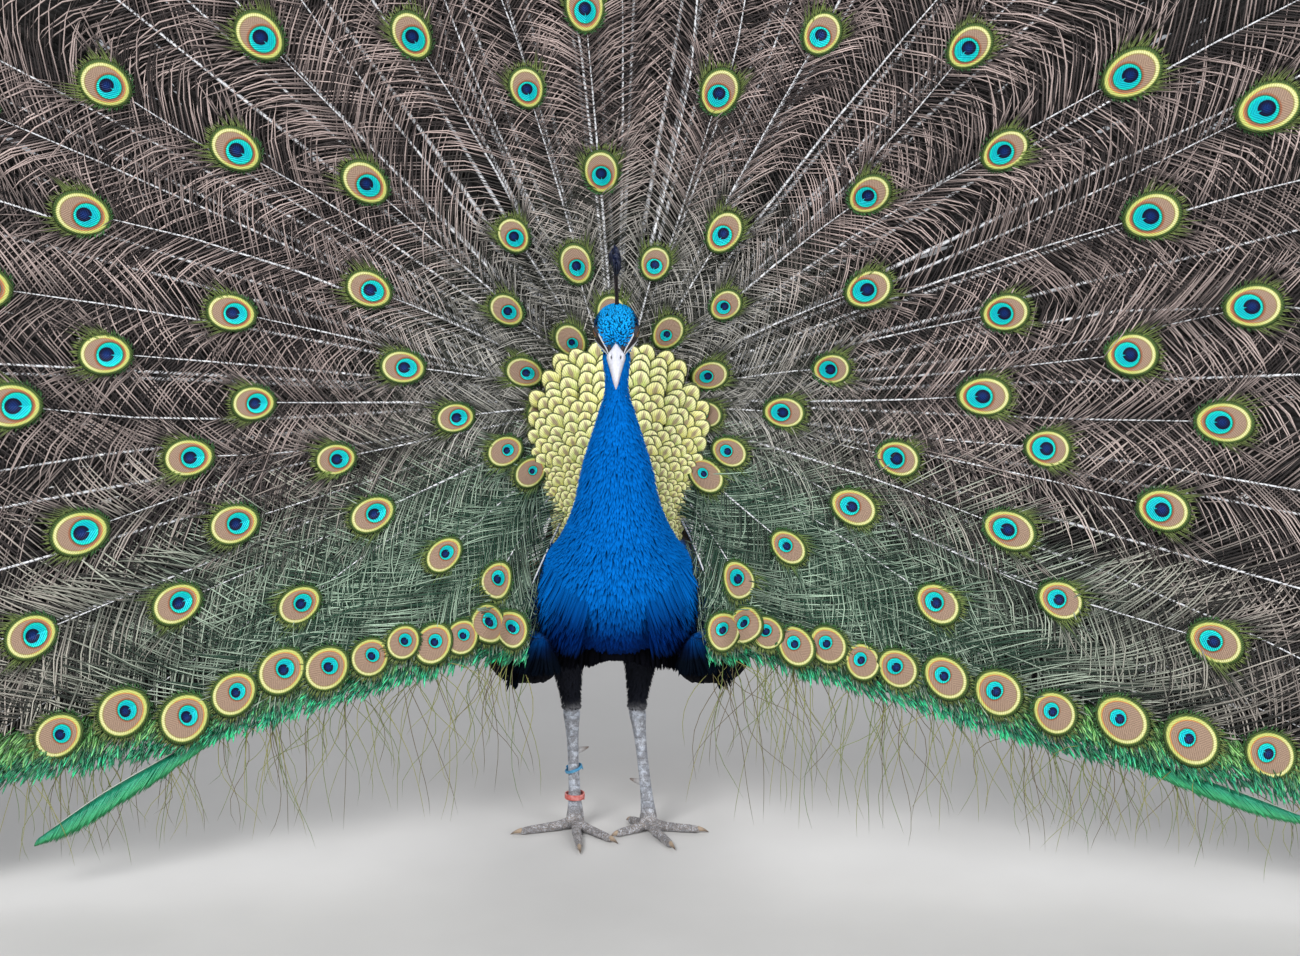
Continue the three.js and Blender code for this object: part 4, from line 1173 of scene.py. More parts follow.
def scale_paint(s):
    across, run, chance = s.mark("place", 1).parts()
    grain = s.noise(1100, 3)
    rays = (across * 34).wave() * 0.5 + 0.5
    gold = chance.blend((0.94, 0.88, 0.22), (0.66, 0.82, 0.20))
    # Pale flecks of noise over the gold are painted highlights on its gloss.
    gold = (grain.step(0.3, 0.75) * 0.5).blend(gold, (1.0, 0.98, 0.50))
    cream = run.step(0.62, 0.84) * (0.45 + 0.4 * chance)
    gold = cream.blend(gold, (1.0, 0.97, 0.50))
    wedge = (across.size() * 1.1 + (run - 0.60).size() * 0.9 + 0.25 * grain).step(0.60, 0.26)
    colour = (wedge * 0.9).blend(gold, (0.42, 0.31, 0.20))
    # Each scale's base, under the scale in front of it, is painted dark olive as shade.
    colour = (run.step(0.36, 0.12) * 0.8).blend(colour, (0.10, 0.13, 0.02))
    colour = (run.step(0.925, 0.955) * 0.95).blend(colour, (0.035, 0.055, 0.006))
    level = 0.78 + 0.36 * rays
    return {"Base Color": level.shaded(colour), "Roughness": 0.32 + 0.25 * grain,
            "Metallic": 0.05 + 0.1 * grain, "Height": rays * 0.5 + grain}


draw = np.random.default_rng(51)
heights, shares, sizes = [], [], []
z, row = SCALES_FROM, 0
while z < SCALES_TO:
    breadth = SCALE_BREADTH[0] + (SCALE_BREADTH[1] - SCALE_BREADTH[0]) * smooth_step(330, 510, z)
    edge, half = read(SCALE_EDGE, z), read(np.array(SHIELD)[:, [0, 2]], z)
    count = max(int(2 * edge / (breadth * 0.62)), 3)
    across = (np.arange(count) + 0.5 * (row % 2) + 0.25 + draw.normal(0, 0.07, count)) / count
    heights.append(z + draw.normal(0, 1.1, count) - 10 * (2 * across - 1) ** 2)
    shares.append((2 * across - 1) * edge / half)
    sizes.append(np.full(count, breadth) * draw.uniform(0.9, 1.14, count))
    z, row = z + breadth * 0.44, row + 1
heights, shares, sizes = (np.concatenate(k) for k in (heights, shares, sizes))
# A lower scale lies in front, and every scale's tip leans forward of its root.
roots = shield_point(heights - 6, shares, -2.5 + draw.normal(0, 0.4, len(heights)))
lean = np.radians(46 * shares) + draw.normal(0, 0.10, len(heights))
run = unit(np.stack([np.sin(lean), -0.17 + 0 * lean, np.cos(lean)], -1))
out = unit(np.stack([0.25 * shares, -1 + 0 * lean, 0.1 + 0 * lean], -1))
out = unit(out - run * (out * run).sum(-1, keepdims=True))
points, faces, place, size = domes(roots, run, np.cross(run, out), out, sizes * 1.25, sizes)
chance = np.repeat(draw.uniform(0, 1, len(roots)), size)
unwrap = np.stack([0.5 + 0.47 * shares, (heights - 300) / 300], 1)
bake = (unwrap[:, None] + 0.009 * (np.stack([place[:size, 0], 2 * place[:size, 1] - 1], 1)
                                   )[None]).reshape(-1, 2)
new_piece("shield_scales", points, faces, finish_of("gilded scales", scale_paint), "shield_feather",
          ["back_shield"], bake=bake, place=np.column_stack([place, chance]))

# ---------------------------------------------------------------- train: the plan
# The train feathers radiate from above the rump over a shallow dish that leans forward.
# Their eyed tips lie in rings: each ring's eyes are a little further apart than the last's.
FAN_CENTRE = 78, 484                  # y and z
FAN_RADIUS = 1200
# Rings of eyes: the radius, and how many degrees from straight up the eyes of one side are.
RINGS = [(93, (35, 96)), (114, (72, 127)), (137, (111,)), (164, (15, 48)), (178, (92,)),
         (228, (30, 144)), (242, (78, 128)), (308, (63, 99)), (290, (112,)), (368, (16, 47)),
         (400, (87, 119)), (438, (74, 105)), (470, (28, 93)), (500, (54,)), (522, (112,)),
         (556, (43, 82)), (590, (100,)), (616, (69,)), (656, (55, 89)), (678, (109,)),
         (700, (78,)), (766, (63,))]
MIDDLE_EYES = 93, 274, 452            # radii of the single eyes that stand straight up
# Beyond them the eyes stand in regular rings out to the edge.
RING_PITCH = 66, 0.150                # spacing in a ring: a length, and a share of its radius
RING_RISE = 0.80                      # from ring to ring, as a share of that spacing
RING_LAST = 1100
GAP_EYES = 1000, 102.5                # one more on each side, where those rings leave a gap
COUNTED = 775, 470                    # how far across and up the eyes above were counted
EYE_HALF = 13.0, 0.0125, 22.5         # half width: a length and a share of r, and the most
SECTOR = 22.1                         # degrees in each full sector
FRINGE_HEIGHT = 56
# The lower edge starts at some distance from the midline and falls less steeply from the
# knee on. Its height is that of its line at the midline.
EDGE_START, EDGE_KNEE, EDGE_TOP, EDGE_SLOPES = 96, 470, 243, (0.225, 0.12)
OVER_WING = 44                        # how far the lowest feathers come forward over the wings
BAKE_SPAN = 2600                      # breadth of the plane that the train's bake map covers


def fan_depth(radius, angle):
    """How far back the dish is: 78 - lean x radius - 0.00008 radius^2, where the lean grows
    from 0.13 by 0.17 between 60 and 140 degrees from straight up."""
    lean = 0.13 + 0.17 * smooth_step(60, 140, np.abs(np.degrees(angle)))
    return FAN_CENTRE[0] - lean * radius - 0.00008 * radius ** 2


def on_fan(flat, depth):
    """Points on the dish from places across and up from its centre, and a depth behind it.
    Low beside the body the dish comes forward over the front of the wings."""
    x, up = columns(flat)
    y = fan_depth(np.hypot(x, up), np.arctan2(x, up))
    drape = smooth_step(82, 97, np.abs(x)) * smooth_step(156, 108, np.abs(x)) * smooth_step(
        -160, -215, up)
    return np.stack([x, y + depth - OVER_WING * drape, FAN_CENTRE[1] + up], -1)


def low_edge(across):
    """The height of the fan's lower edge at a distance from the midline."""
    near, far = np.minimum(across, EDGE_KNEE), np.maximum(across - EDGE_KNEE, 0)
    return EDGE_TOP - EDGE_SLOPES[0] * near - EDGE_SLOPES[1] * far


def over_edge(flat):
    """How far flat places lie above the fan's lower edge, which begins beside the body."""
    return flat[:, 1] + FAN_CENTRE[1] - low_edge(np.maximum(np.abs(flat[:, 0]), EDGE_START))


def polar(radius, angle):
    """Flat places at a distance from the fan's centre and an angle from straight up."""
    return np.stack([radius * np.sin(angle), radius * np.cos(angle)], -1)


def aligned(axis, aside, ahead):
    """Flat places given aside and ahead, where ahead is this angle from straight up."""
    return np.stack([aside * np.cos(axis) + ahead * np.sin(axis),
                     ahead * np.cos(axis) - aside * np.sin(axis)], -1)


draw = np.random.default_rng(61)
plan = [(radius, side * degrees) for radius, angles in RINGS for degrees in angles
        for side in (-1, 1)]
plan = np.array(plan + [(radius, -4.0) for radius in MIDDLE_EYES])
plan[:, 1] = np.radians(plan[:, 1])
plan += draw.normal(0, 1, plan.shape) * [6, 0.012]
radius, k, plan = 520, 0, [plan]
while radius < RING_LAST:
    pitch = RING_PITCH[0] + RING_PITCH[1] * radius
    count = int(np.radians(130) * radius / pitch) + 1
    angle = (np.arange(-count, count + 1) + 0.5 * (k % 2)) * pitch / radius
    ring = np.stack([radius + draw.normal(0, 0.06, len(angle)) * pitch,
                     angle + draw.normal(0, 0.05, len(angle)) * pitch / radius], 1)
    x, up = columns(polar(*columns(ring)))
    plan.append(ring[(np.abs(x) > COUNTED[0]) | (up > COUNTED[1])])
    radius, k = radius + RING_RISE * pitch, k + 1
plan.append(np.array([(GAP_EYES[0], side * np.radians(GAP_EYES[1])) for side in (-1, 1)]))
eye_radius, eye_angle = columns(np.concatenate(plan))
eye_half = np.minimum(EYE_HALF[0] + EYE_HALF[1] * eye_radius, EYE_HALF[2]) * draw.uniform(
    0.93, 1.07, len(eye_radius))
x, up = columns(polar(eye_radius, eye_angle))
clear = up + FAN_CENTRE[1] > low_edge(np.abs(x)) + FRINGE_HEIGHT + 0.9 * eye_half
eye_radius, eye_angle, eye_half = eye_radius[clear], eye_angle[clear], eye_half[clear]
eye_stretch = draw.uniform(1.20, 1.38, len(eye_radius))
eye_disc = (np.clip(0.28 + 0.0016 * eye_radius, 0.34, 0.62)
            - 0.13 * smooth_step(95, 125, np.abs(np.degrees(eye_angle)))) * draw.uniform(
    0.93, 1.05, len(eye_radius))

# The eyes of the fringe stand in a crowded row along the low edge.
FRINGE_EYES = 117.0, 985              # distances of the first and the last from the midline
fringe_eyes = []
for side in (-1, 1):
    across = [FRINGE_EYES[0]]
    while across[-1] < FRINGE_EYES[1]:
        across.append(across[-1] + (10 + 0.12 * across[-1]) * draw.uniform(0.85, 1.12))
    across = np.array(across)
    z = low_edge(across) + 34 + np.where(np.arange(len(across)) % 3 == 1, 8, 0) \
        + draw.normal(0, 3, len(across)) + 6 * smooth_step(150, 350, across)
    fringe_eyes.append(np.stack([side * across, z - FAN_CENTRE[1]], 1))
fringe_eyes = np.concatenate(fringe_eyes)
fringe_radius = np.hypot(*fringe_eyes.T)
fringe_angle = np.arctan2(*fringe_eyes.T)
count = len(fringe_radius)
all_radius = np.concatenate([eye_radius, fringe_radius])
all_angle = np.concatenate([eye_angle, fringe_angle])
all_half = np.concatenate([eye_half, (18 + 4.5 * smooth_step(120, 300, fringe_radius - 200))
                           * draw.uniform(0.88, 1.04, count)])
all_stretch = np.concatenate([eye_stretch, draw.uniform(1.04, 1.18, count)])
all_disc = np.concatenate([eye_disc, draw.uniform(0.38, 0.47, count)])
in_fringe = np.arange(len(all_radius)) >= len(eye_radius)
TRAIN_DEEP = 14                       # from the shortest feathers back to the longest
all_depth = TRAIN_DEEP * np.minimum(all_radius / FAN_RADIUS, 1) - TRAIN_DEEP \
    + draw.normal(0, 0.8, len(all_radius))


def lies_on(side, value):
    """Whether distances or angles from the midline are on a side; those at 0 are right."""
    return value * side > (0 if side > 0 else -1e-9)


def sector_of(angle):
    """The number of the sector that an angle lies in, 1 to 6 from the top of each side."""
    return np.minimum(np.abs(np.degrees(angle)) // SECTOR, 5).astype(int) + 1


# ---------------------------------------------------------------- train: shafts
# A smooth white quill runs from near the centre of the fan to each eye. It is thick where
# it is rooted and fine at the eye.
QUILL_SHARES = np.array([0, 0.02, 0.2, 0.4, 0.6, 0.8, 0.97, 1])
QUILL_START = 44                      # from the fan's centre
QUILL_HALF = 2.0, 1.0                 # at the root: a length, and that for the longest added


def quill_paint(s):
    grain = s.noise(160, 4)
    return {"Base Color": grain.step(0.35, 0.7).blend((0.66, 0.67, 0.70), (0.92, 0.93, 0.95)),
            "Roughness": 0.3 + 0.2 * grain, "Height": grain}


quill_finish = finish_of("white quill", quill_paint, Specular_IOR_Level=0.5)
quill_bow = draw.normal(0, 0.022, len(all_radius))


def quill_place(radius, which):
    """Flat places at some radius along the quills of these feathers, each bowed by a share
    of sin(pi radius / its length)."""
    bow = quill_bow[which] * np.sin(np.pi * radius / all_radius[which])
    return polar(radius, all_angle[which] + bow)


def quill_tubes(middle, half):
    """Closed four-sided tubes along middle lines, as thick as they are wide."""
    return spindles(middle, *sideways(middle, [0, -1, 0]), half, half, 4)


for name, side in SIDES.items():
    which = np.flatnonzero(lies_on(side, all_angle))
    spots = np.repeat(which[:, None], len(QUILL_SHARES), 1)
    radius = QUILL_START + (all_radius[which] - 4 - QUILL_START)[:, None] * QUILL_SHARES
    half = (QUILL_HALF[0] + QUILL_HALF[1] * all_radius[which] / FAN_RADIUS)[:, None] * (
        1 - 0.8 * QUILL_SHARES ** 1.2)
    middle = on_fan(quill_place(radius, spots),
                    (all_depth[which] + 5 * in_fringe[which])[:, None] + 0.1 + half)
    points, faces = quill_tubes(middle, half)
    shares = ring_shares(QUILL_SHARES, 4)
    bake = np.stack([np.repeat(np.linspace(0.02, 0.98, len(which)), len(shares))
                     + 0.002 * np.tile(np.arange(len(shares)) % 4, len(which)),
                     np.tile(0.02 + 0.96 * shares, len(which))], 1)
    new_piece("quills_" + name, points, faces, quill_finish, "train_feather", bake=bake)

# ---------------------------------------------------------------- train: barbs
# Loose barbs leave both sides of each quill, well apart and long, and bend away from it and
# down at their tips, but only in its last stretch, where no shorter feather lies over it.
# Mauve brown with tan tips, they turn olive near the middle and green low down. The dark colours are
# painted shade and the light tips painted highlights, on the barbs that catch the light.
BARB_SHARES = np.array([0, 0.07, 0.5, 0.8, 1])
BARBED = 300, 0.17                    # length of the stretch with barbs: this and a share of r
BARBS_START, BARBS_END = 62, 0.985    # the least radius, and a share of the feather's length
BARB_GAP = 3.5, 4.8                   # between barbs of one side near the middle and far out
BARB_LENGTH = 50, 0.08                # a length and a share of r
BARB_HALF = 0.62, 0.26                # half width near the middle, and that far out added
BARB_LEAN, BARB_BEND, BARB_FALL = 44, 26, 20      # degrees from the quill, outwards and downwards
MAUVE = (0.011, 0.007, 0.0075)
TAN = (0.49, 0.385, 0.355)
OLIVE = (0.016, 0.020, 0.012)
GOLD = (0.50, 0.50, 0.45)
EMERALD = (0.003, 0.045, 0.022)
LIME = (0.32, 0.50, 0.36)
NIGHT = (0.0050, 0.0040, 0.0037)


def walked(start, angle, length, shares):
    """Flat lines from their starts, in steps from share to share of their length. Each step
    goes along its own angle from straight up."""
    moves = polar(length[:, None] * np.diff(shares), angle)
    return np.concatenate([start[:, None], start[:, None] + np.cumsum(moves, 1)], 1)


def halfway(shares):
    """The middles between shares."""
    return (shares[1:] + shares[:-1]) / 2


def bent_lines(start, way, bend, length, shares, power=1.0):
    """Flat lines that start in a direction given as an angle from straight up and turn by
    bend on their way, as this power of the share of the length."""
    return walked(start, way[:, None] + bend[:, None] * halfway(shares) ** power, length, shares)


def barbs_on_fan(flat, depth, half, thick):
    """Spindles over flat lines on the dish, facing forward."""
    run = unit(np.gradient(flat, axis=1))
    aside = np.stack([-run[..., 1], run[..., 0]], -1)[:, 1:-1]
    half = np.broadcast_to(half, flat.shape[:2])[:, 1:-1, None]
    depth = np.broadcast_to(depth, flat.shape[:2])
    body, body_depth = flat[:, 1:-1], depth[:, 1:-1]
    rings = np.stack([on_fan(body + aside * half, body_depth), on_fan(body, body_depth - thick),
                      on_fan(body - aside * half, body_depth)], 2)
    ends = on_fan(flat[:, [0, -1]], depth[:, [0, -1]])
    return np.concatenate([ends[:, :1], rings.reshape(len(flat), -1, 3), ends[:, 1:]], 1)


def mesh_of(points):
    """The points of such spindles in one list, and their triangles."""
    return points.reshape(-1, 3), spindle_faces(len(points), (points.shape[1] - 2) // 3)


def train_tint(flat, chance):
    """The dark and the light colour of the train's barbs by their roots' places, painted shade and
    painted highlight of the same barbs: mauve and tan over most of it, olive and gold round the
    shield, emerald and lime low down."""
    x, up = columns(flat)
    radius, angle = np.hypot(x, up), np.abs(np.degrees(np.arctan2(x, up)))
    low = smooth_step(96, 123, angle + 14 * (chance - 0.5)) * smooth_step(900, 360, radius)
    inner = smooth_step(330, 150, radius + 80 * (chance - 0.5)) * (1 - low)
    dark = mixed(mixed(MAUVE, OLIVE, inner), EMERALD, low)
    light = mixed(mixed(TAN, GOLD, 0.8 * inner), LIME, low * 0.8)
    light = mixed(light, GOLD, 0.1 * smooth_step(60, 100, angle) * (1 - low))
    return dark, light


barb_finish = finish_of("loose barbs", tinted(380, 3, 0.62, 0.76, 0.45, 0.3),
                        Specular_IOR_Level=0.3, Sheen_Weight=0.05)

draw = np.random.default_rng(71)
ends = BARBS_END * all_radius
starts = np.maximum(BARBS_START, ends - (BARBED[0] + BARBED[1] * ends)
                    * draw.uniform(0.8, 1.2, len(ends)))
gap = BARB_GAP[0] + (BARB_GAP[1] - BARB_GAP[0]) * smooth_step(250, 600, all_radius)
each = np.maximum((ends - starts) / gap, 6).astype(int)
which = np.repeat(np.arange(len(all_radius)), each * 2)
order = np.concatenate([np.arange(2 * n) for n in each])
side = np.where(order % 2 == 0, -1.0, 1.0)
share = (order // 2 + 0.5 + draw.normal(0, 0.12, len(order))) / np.repeat(each, each * 2)
radius = starts[which] + (ends - starts)[which] * share
root = quill_place(radius, which)
# What the barbs on one side of a feather have in common, among them a level that paints the whole set
# lighter or darker, as light and shade on it.
own = (which, (side > 0).astype(int))
phase = draw.uniform(0, 2 * np.pi, (len(all_radius), 2))[own]
set_lean, set_bend, set_level = (draw.normal(0, k, (len(all_radius), 2))[own]
                                 for k in (5.0, 8.0, 0.16))
lean = np.radians(BARB_LEAN + set_lean + 6 * np.sin(radius / 60 + phase)
                  + draw.normal(0, 1.4, len(which)))
bend = np.radians(BARB_BEND + set_bend + 9 * np.sin(radius / 85 + 2 * phase)
                  + draw.normal(0, 4.0, len(which)))
length = (BARB_LENGTH[0] + BARB_LENGTH[1] * radius) * draw.uniform(0.80, 1.10, len(which))
length *= 1 - 0.30 * smooth_step(0.90, 1.0, radius / all_radius[which])
way = np.arctan2(*columns(root)) + side * lean
root = root - polar(2, way)
flat = bent_lines(root, way, side * bend + np.radians(BARB_FALL) * np.sin(way), length,
                  BARB_SHARES, 1.6)
# About half of them catch the light, and these lie a little in front.
lit = draw.uniform(0, 1, len(which))
depth = (all_depth[which] + draw.normal(0, 1.2, len(which)) - 0.8 * smooth_step(0.35, 0.65, lit)
         )[:, None] + 2.2 * BARB_SHARES
half = (BARB_HALF[0] + BARB_HALF[1] * smooth_step(200, 600, radius))[:, None] * draw.uniform(
    0.7, 1.25, len(which))[:, None] * np.array([0, 0.9, 1.0, 0.75, 0])
# Each set, and each stretch along the quill, is painted lighter or darker, as the light falling on it.
level = 1 + set_level + 0.16 * np.sin(radius / 34 + 3 * phase)
# Barbs whose tips would hang out below the fan or low over the body are dropped.
tip = flat[:, -1]
kept = (over_edge(tip) > 14) & ((np.abs(tip[:, 0]) > 78) | (tip[:, 1] > -60))
groups = [(root[kept], flat[kept], depth[kept], half[kept], BARB_SHARES,
           lit[kept], level[kept], 0.5, "barb")]

# ---------------------------------------------------------------- train: crossed barbs
# Low beside the body fine green barbs cross each other, some hanging and some level. They
# lie in front of the others.
CROSSED = 1500                        # on each side
CROSSED_FROM, CROSSED_TO, CROSSED_TOP = 74, 420, 455       # distances aside, and a height
CROSSED_HALF = 0.62
x, rise = draw.uniform(CROSSED_FROM, CROSSED_TO, CROSSED), draw.uniform(0, 1, CROSSED)
bottom = low_edge(x) + 26
root = np.stack([x, bottom + (CROSSED_TOP - bottom) * rise ** 1.2 - FAN_CENTRE[1]], 1)
level_set = np.arange(CROSSED) % 2 == 0
way = np.radians(np.where(level_set, 106, 166) + draw.normal(0, 5, CROSSED))
length = draw.uniform(34, 62, CROSSED)
length = np.where(level_set, length, np.minimum(length, root[:, 1] + FAN_CENTRE[1] - bottom + 18))
for side in (-1, 1):
    flat = bent_lines(root, way, np.radians(draw.normal(0, 12, CROSSED)), length, BARB_SHARES)
    flat = flat * [side, 1]
    groups.append((root * [side, 1], flat, draw.uniform(-11, -4, CROSSED)[:, None],
                   CROSSED_HALF * np.array([0, 1, 1, 0.75, 0]), BARB_SHARES,
                   draw.uniform(0, 1, CROSSED), draw.uniform(0.7, 1.3, CROSSED), 0.45, "barb"))

# ---------------------------------------------------------------- train: vanes behind
# Broad dark vanes of the rows behind are laid in close rings, so that nothing is seen through the fan;
# their near black is painted shade behind the barbs in front. Low down they all lie along the fringe.
VANE_RISE, VANE_GAP = 30, 9.5         # between rings, and between neighbours in a ring
VANE_HALF = 8.2
VANE_REACH, VANE_LOWEST = np.radians(152), np.radians(100)
VANE_SHARES = np.array([0, 0.35, 0.75, 1])
ring_radius = np.arange(50, 1130, VANE_RISE)
ring_count = (2 * VANE_REACH * ring_radius / VANE_GAP).astype(int)
spread_r = np.repeat(ring_radius, ring_count) + draw.normal(0, 7, ring_count.sum())
spread_a = np.concatenate([np.linspace(-1, 1, n) for n in ring_count]) * VANE_REACH
count = len(spread_r)
root = polar(spread_r, spread_a)
length = np.clip(FAN_RADIUS - 6 - spread_r, 40, 104) * draw.uniform(0.86, 1, count)
flat = bent_lines(root, np.clip(spread_a, -VANE_LOWEST, VANE_LOWEST)
                  + np.radians(draw.normal(0, 7, count)),
                  np.radians(draw.normal(0, 10, count)), length, VANE_SHARES)
over = np.minimum.reduce([over_edge(k) for k in (root, flat[:, 2], flat[:, -1])])
kept = (over > 12) & ((np.abs(root[:, 0]) > 52) | (root[:, 1] > -60))
half = VANE_HALF * draw.uniform(0.85, 1.15, count)[:, None] * np.array([0, 1.0, 0.85, 0])
groups.append((root[kept], flat[kept], (9 + draw.uniform(0, 4, count))[kept][:, None],
               half[kept], VANE_SHARES, draw.uniform(0, 1, kept.sum()), np.ones(kept.sum()),
               0.6, "vane"))

# ---------------------------------------------------------------- train: barbs about the eyes
# Short close barbs make a soft green glow round each eye, and long straight ones stream
# past it from its sides.
HALO_EACH, STREAM_EACH = 110, 24
HALO_HALF, STREAM_HALF = 0.62, 0.72
HALO_GOLD, HALO_GREEN, HALO_EDGE = (0.16, 0.21, 0.055), (0.04, 0.15, 0.04), (0.025, 0.05, 0.012)
STREAM_GREEN = (0.22, 0.32, 0.06)
HALO_SHARES = np.array([0, 0.45, 1])


def about_eyes(each, turned, reach):
    """Roots on an oval about each eye, at angles from its outer end: which feather each
    belongs to, its angle and its place."""
    which = np.repeat(np.arange(len(all_radius)), each)
    turned = np.tile(turned, len(all_radius)) + draw.normal(0, 0.05, len(which))
    axis, reach = all_angle[which], all_half[which] * reach
    centre = quill_place(all_radius, np.arange(len(all_radius)))[which]
    aside, ahead = np.sin(turned) * reach, np.cos(turned) * reach * all_stretch[which]
    return which, turned, centre + aligned(axis, aside, ahead)


which, turned, root = about_eyes(
    HALO_EACH, np.linspace(-np.pi, np.pi, HALO_EACH, endpoint=False), 1.05)
count = len(which)
# They lean from straight out towards the feather's tip.
way = all_angle[which] + turned * 0.72 + draw.normal(0, 0.12, count)
far = smooth_step(-0.6, 0.9, np.cos(turned))
length = all_half[which] * (0.30 + 0.24 * far) * draw.uniform(0.7, 1.4, count)
flat = bent_lines(root, way, -0.3 * np.sin(turned) + draw.normal(0, 0.12, count), length,
                  HALO_SHARES)
half = HALO_HALF * draw.uniform(0.8, 1.2, count)[:, None] * np.array([0, 1.0, 0])
groups.append((root, flat, (all_depth[which] - 2.6 + draw.normal(0, 0.5, count))[:, None]
               + 1.5 * HALO_SHARES, half, HALO_SHARES, np.cos(turned),
               draw.uniform(0.7, 1.3, count), 0.4, "halo"))

places = np.concatenate([s * np.linspace(0.9, 2.2, STREAM_EACH // 2) for s in (-1, 1)])
which, turned, root = about_eyes(STREAM_EACH, places, 0.8)
count = len(which)
way = all_angle[which] + np.sign(turned) * np.radians(14 + 16 * (np.abs(turned) - 0.9)) \
    + draw.normal(0, 0.05, count)
length = all_half[which] * draw.uniform(2.2, 3.8, count) * np.where(in_fringe[which], 0.4, 1)
flat = bent_lines(root, way, 0.22 * np.sign(turned) + draw.normal(0, 0.08, count), length,
                  BARB_SHARES)
half = STREAM_HALF * draw.uniform(0.8, 1.2, count)[:, None] * np.array([0, 0.9, 1.0, 0.75, 0])
groups.append((root, flat, (all_depth[which] - 1.6 + draw.normal(0, 0.5, count))[:, None]
               + 1.5 * BARB_SHARES, half, BARB_SHARES, draw.uniform(0, 1, count),
               draw.uniform(0.8, 1.2, count), 0.4, "stream"))

# ---------------------------------------------------------------- train: the barbs' pieces
# Each kind of barb gets its colours, and the barbs of all kinds that are rooted in one
# sector of the fan become one piece.
sector_parts = {}
for root, flat, depth, half, shares, chance, level, thick, kind in groups:
    points = barbs_on_fan(flat, depth, half, thick)
    marks = ring_shares(shares)
    dark, light = train_tint(root, chance)
    rise = smooth_step(0.4, 1.0, marks)[None]
    level = level[:, None, None]
    if kind == "barb":
        # The barbs that catch the light turn to the light colour towards their tips as a painted
        # highlight; the darkest of them stay dark to their tips, as painted shade.
        rise = (0.3 + 0.7 * smooth_step(0.0, 0.6, marks)) * (
            0.05 + 0.95 * smooth_step(0.35, 0.65, chance))[:, None]
        colour = mixed(dark[:, None], light[:, None], rise) * level
    # The vanes behind are painted near black, as the shade between the barbs in front of them.
    elif kind == "vane":
        colour = np.array(NIGHT) * (0.6 + chance)[:, None, None] + 0.04 * dark[:, None] \
            + 0 * rise[..., None]
    elif kind == "stream":
        colour = mixed(mixed(dark[:, None], light[:, None], rise) * level, STREAM_GREEN,
                       smooth_step(0.45, 0.0, marks))
    else:
        base = mixed(HALO_GOLD, HALO_GREEN, smooth_step(0.35, -0.5, chance))
        edge = dark * 0.5 + np.array(HALO_EDGE)
        colour = mixed(base[:, None], edge[:, None], rise) * level
    number = sector_of(np.arctan2(*columns(root)))
    for name, side in SIDES.items():
        for k in range(1, 7):
            mine = (number == k) & lies_on(side, root[:, 0])
            unwrap = 0.5 + root[mine] / BAKE_SPAN
            sector_parts.setdefault((name, k), []).append((
                points[mine], colour[mine], patches(unwrap, marks)))

for (name, k), found in sector_parts.items():
    points, faces = joined([mesh_of(points) for points, _, _ in found])
    tint = np.concatenate([colour.reshape(-1, 3) for _, colour, _ in found])
    bake = np.concatenate([place for _, _, place in found])
    new_piece(f"barbs_{name}_{k}", points, faces, barb_finish, "train_feather",
              [f"train_{name}_{k}"], bake=bake, tint=tint)

# ---------------------------------------------------------------- train: eyes
# Each eye is a close oval web: a notched navy spot in a turquoise disc, set towards the
# quill, in a bronze oval with a copper line, a yellow and cream rim and a green edge.
EYE_RINGS = np.array([0.2, 0.45, 0.7, 0.88, 1.0])
EYE_ROUND = 24
WEB_BORDER = 1.16


def eye_marks(s):
    across, run, disc = s.mark("place", 1).parts()
    barbules = ((run - across.size() * 0.75) * 58).wave()
    grain = s.noise(900, 3)
    shaky = (grain - 0.5) * 0.10
    # The distance from the oval's middle, and that from the disc's middle as a share of the disc.
    oval = (across * across + run * run).root() + shaky * 0.5
    low = run + 0.19
    spot = (across * across + low * low * 1.5).root() / disc + shaky
    colour = (oval + 0.10 * barbules).step(1.18, 1.0).blend((0.020, 0.045, 0.012), (0.10, 0.17, 0.035))
    colour = oval.step(1.03, 0.97).blend(colour, (0.60, 0.63, 0.17))
    cream = (run.step(-0.2, 0.7) * oval.step(1.0, 0.95)) * 0.7
    colour = cream.blend(colour, (0.84, 0.82, 0.42))
    copper = run.step(0.5, -0.3).blend((0.34, 0.26, 0.10), (0.62, 0.25, 0.07))
    colour = oval.step(0.89, 0.855).blend(colour, copper)
    bronze = grain.blend((0.30, 0.195, 0.135), (0.43, 0.295, 0.21))
    colour = oval.step(0.84, 0.81).blend(colour, bronze)
    colour = spot.step(1.32, 1.16).blend(colour, (0.34, 0.11, 0.05))
    colour = spot.step(1.15, 1.07).blend(colour, (0.030, 0.12, 0.08))
    teal = spot.step(0.75, 1.05).blend((0.0, 0.52, 0.60), (0.0, 0.76, 0.58))
    colour = spot.step(1.05, 0.99).blend(colour, teal)
    high = low - 0.20 * disc
    core = (across * across + high * high * 1.5).root() / disc
    notch = (across.size() * 3.0 + high) / disc
    pupil = core.step(0.66, 0.59) * notch.step(-0.36, -0.26)
    navy = core.step(0.56, 0.10).blend((0.001, 0.003, 0.025), (0.001, 0.022, 0.14))
    colour = pupil.blend(colour, navy)
    inside = spot.step(1.05, 0.99)
    return {"Base Color": (0.90 + 0.16 * barbules).shaded(colour), "Metallic": inside * 0.35,
            "Roughness": 0.5 - inside * 0.18 + 0.15 * grain, "Height": barbules + grain,
            "Lift": 0.00025}


eye_web = finish_of("eyed web", eye_marks, Specular_IOR_Level=0.25)


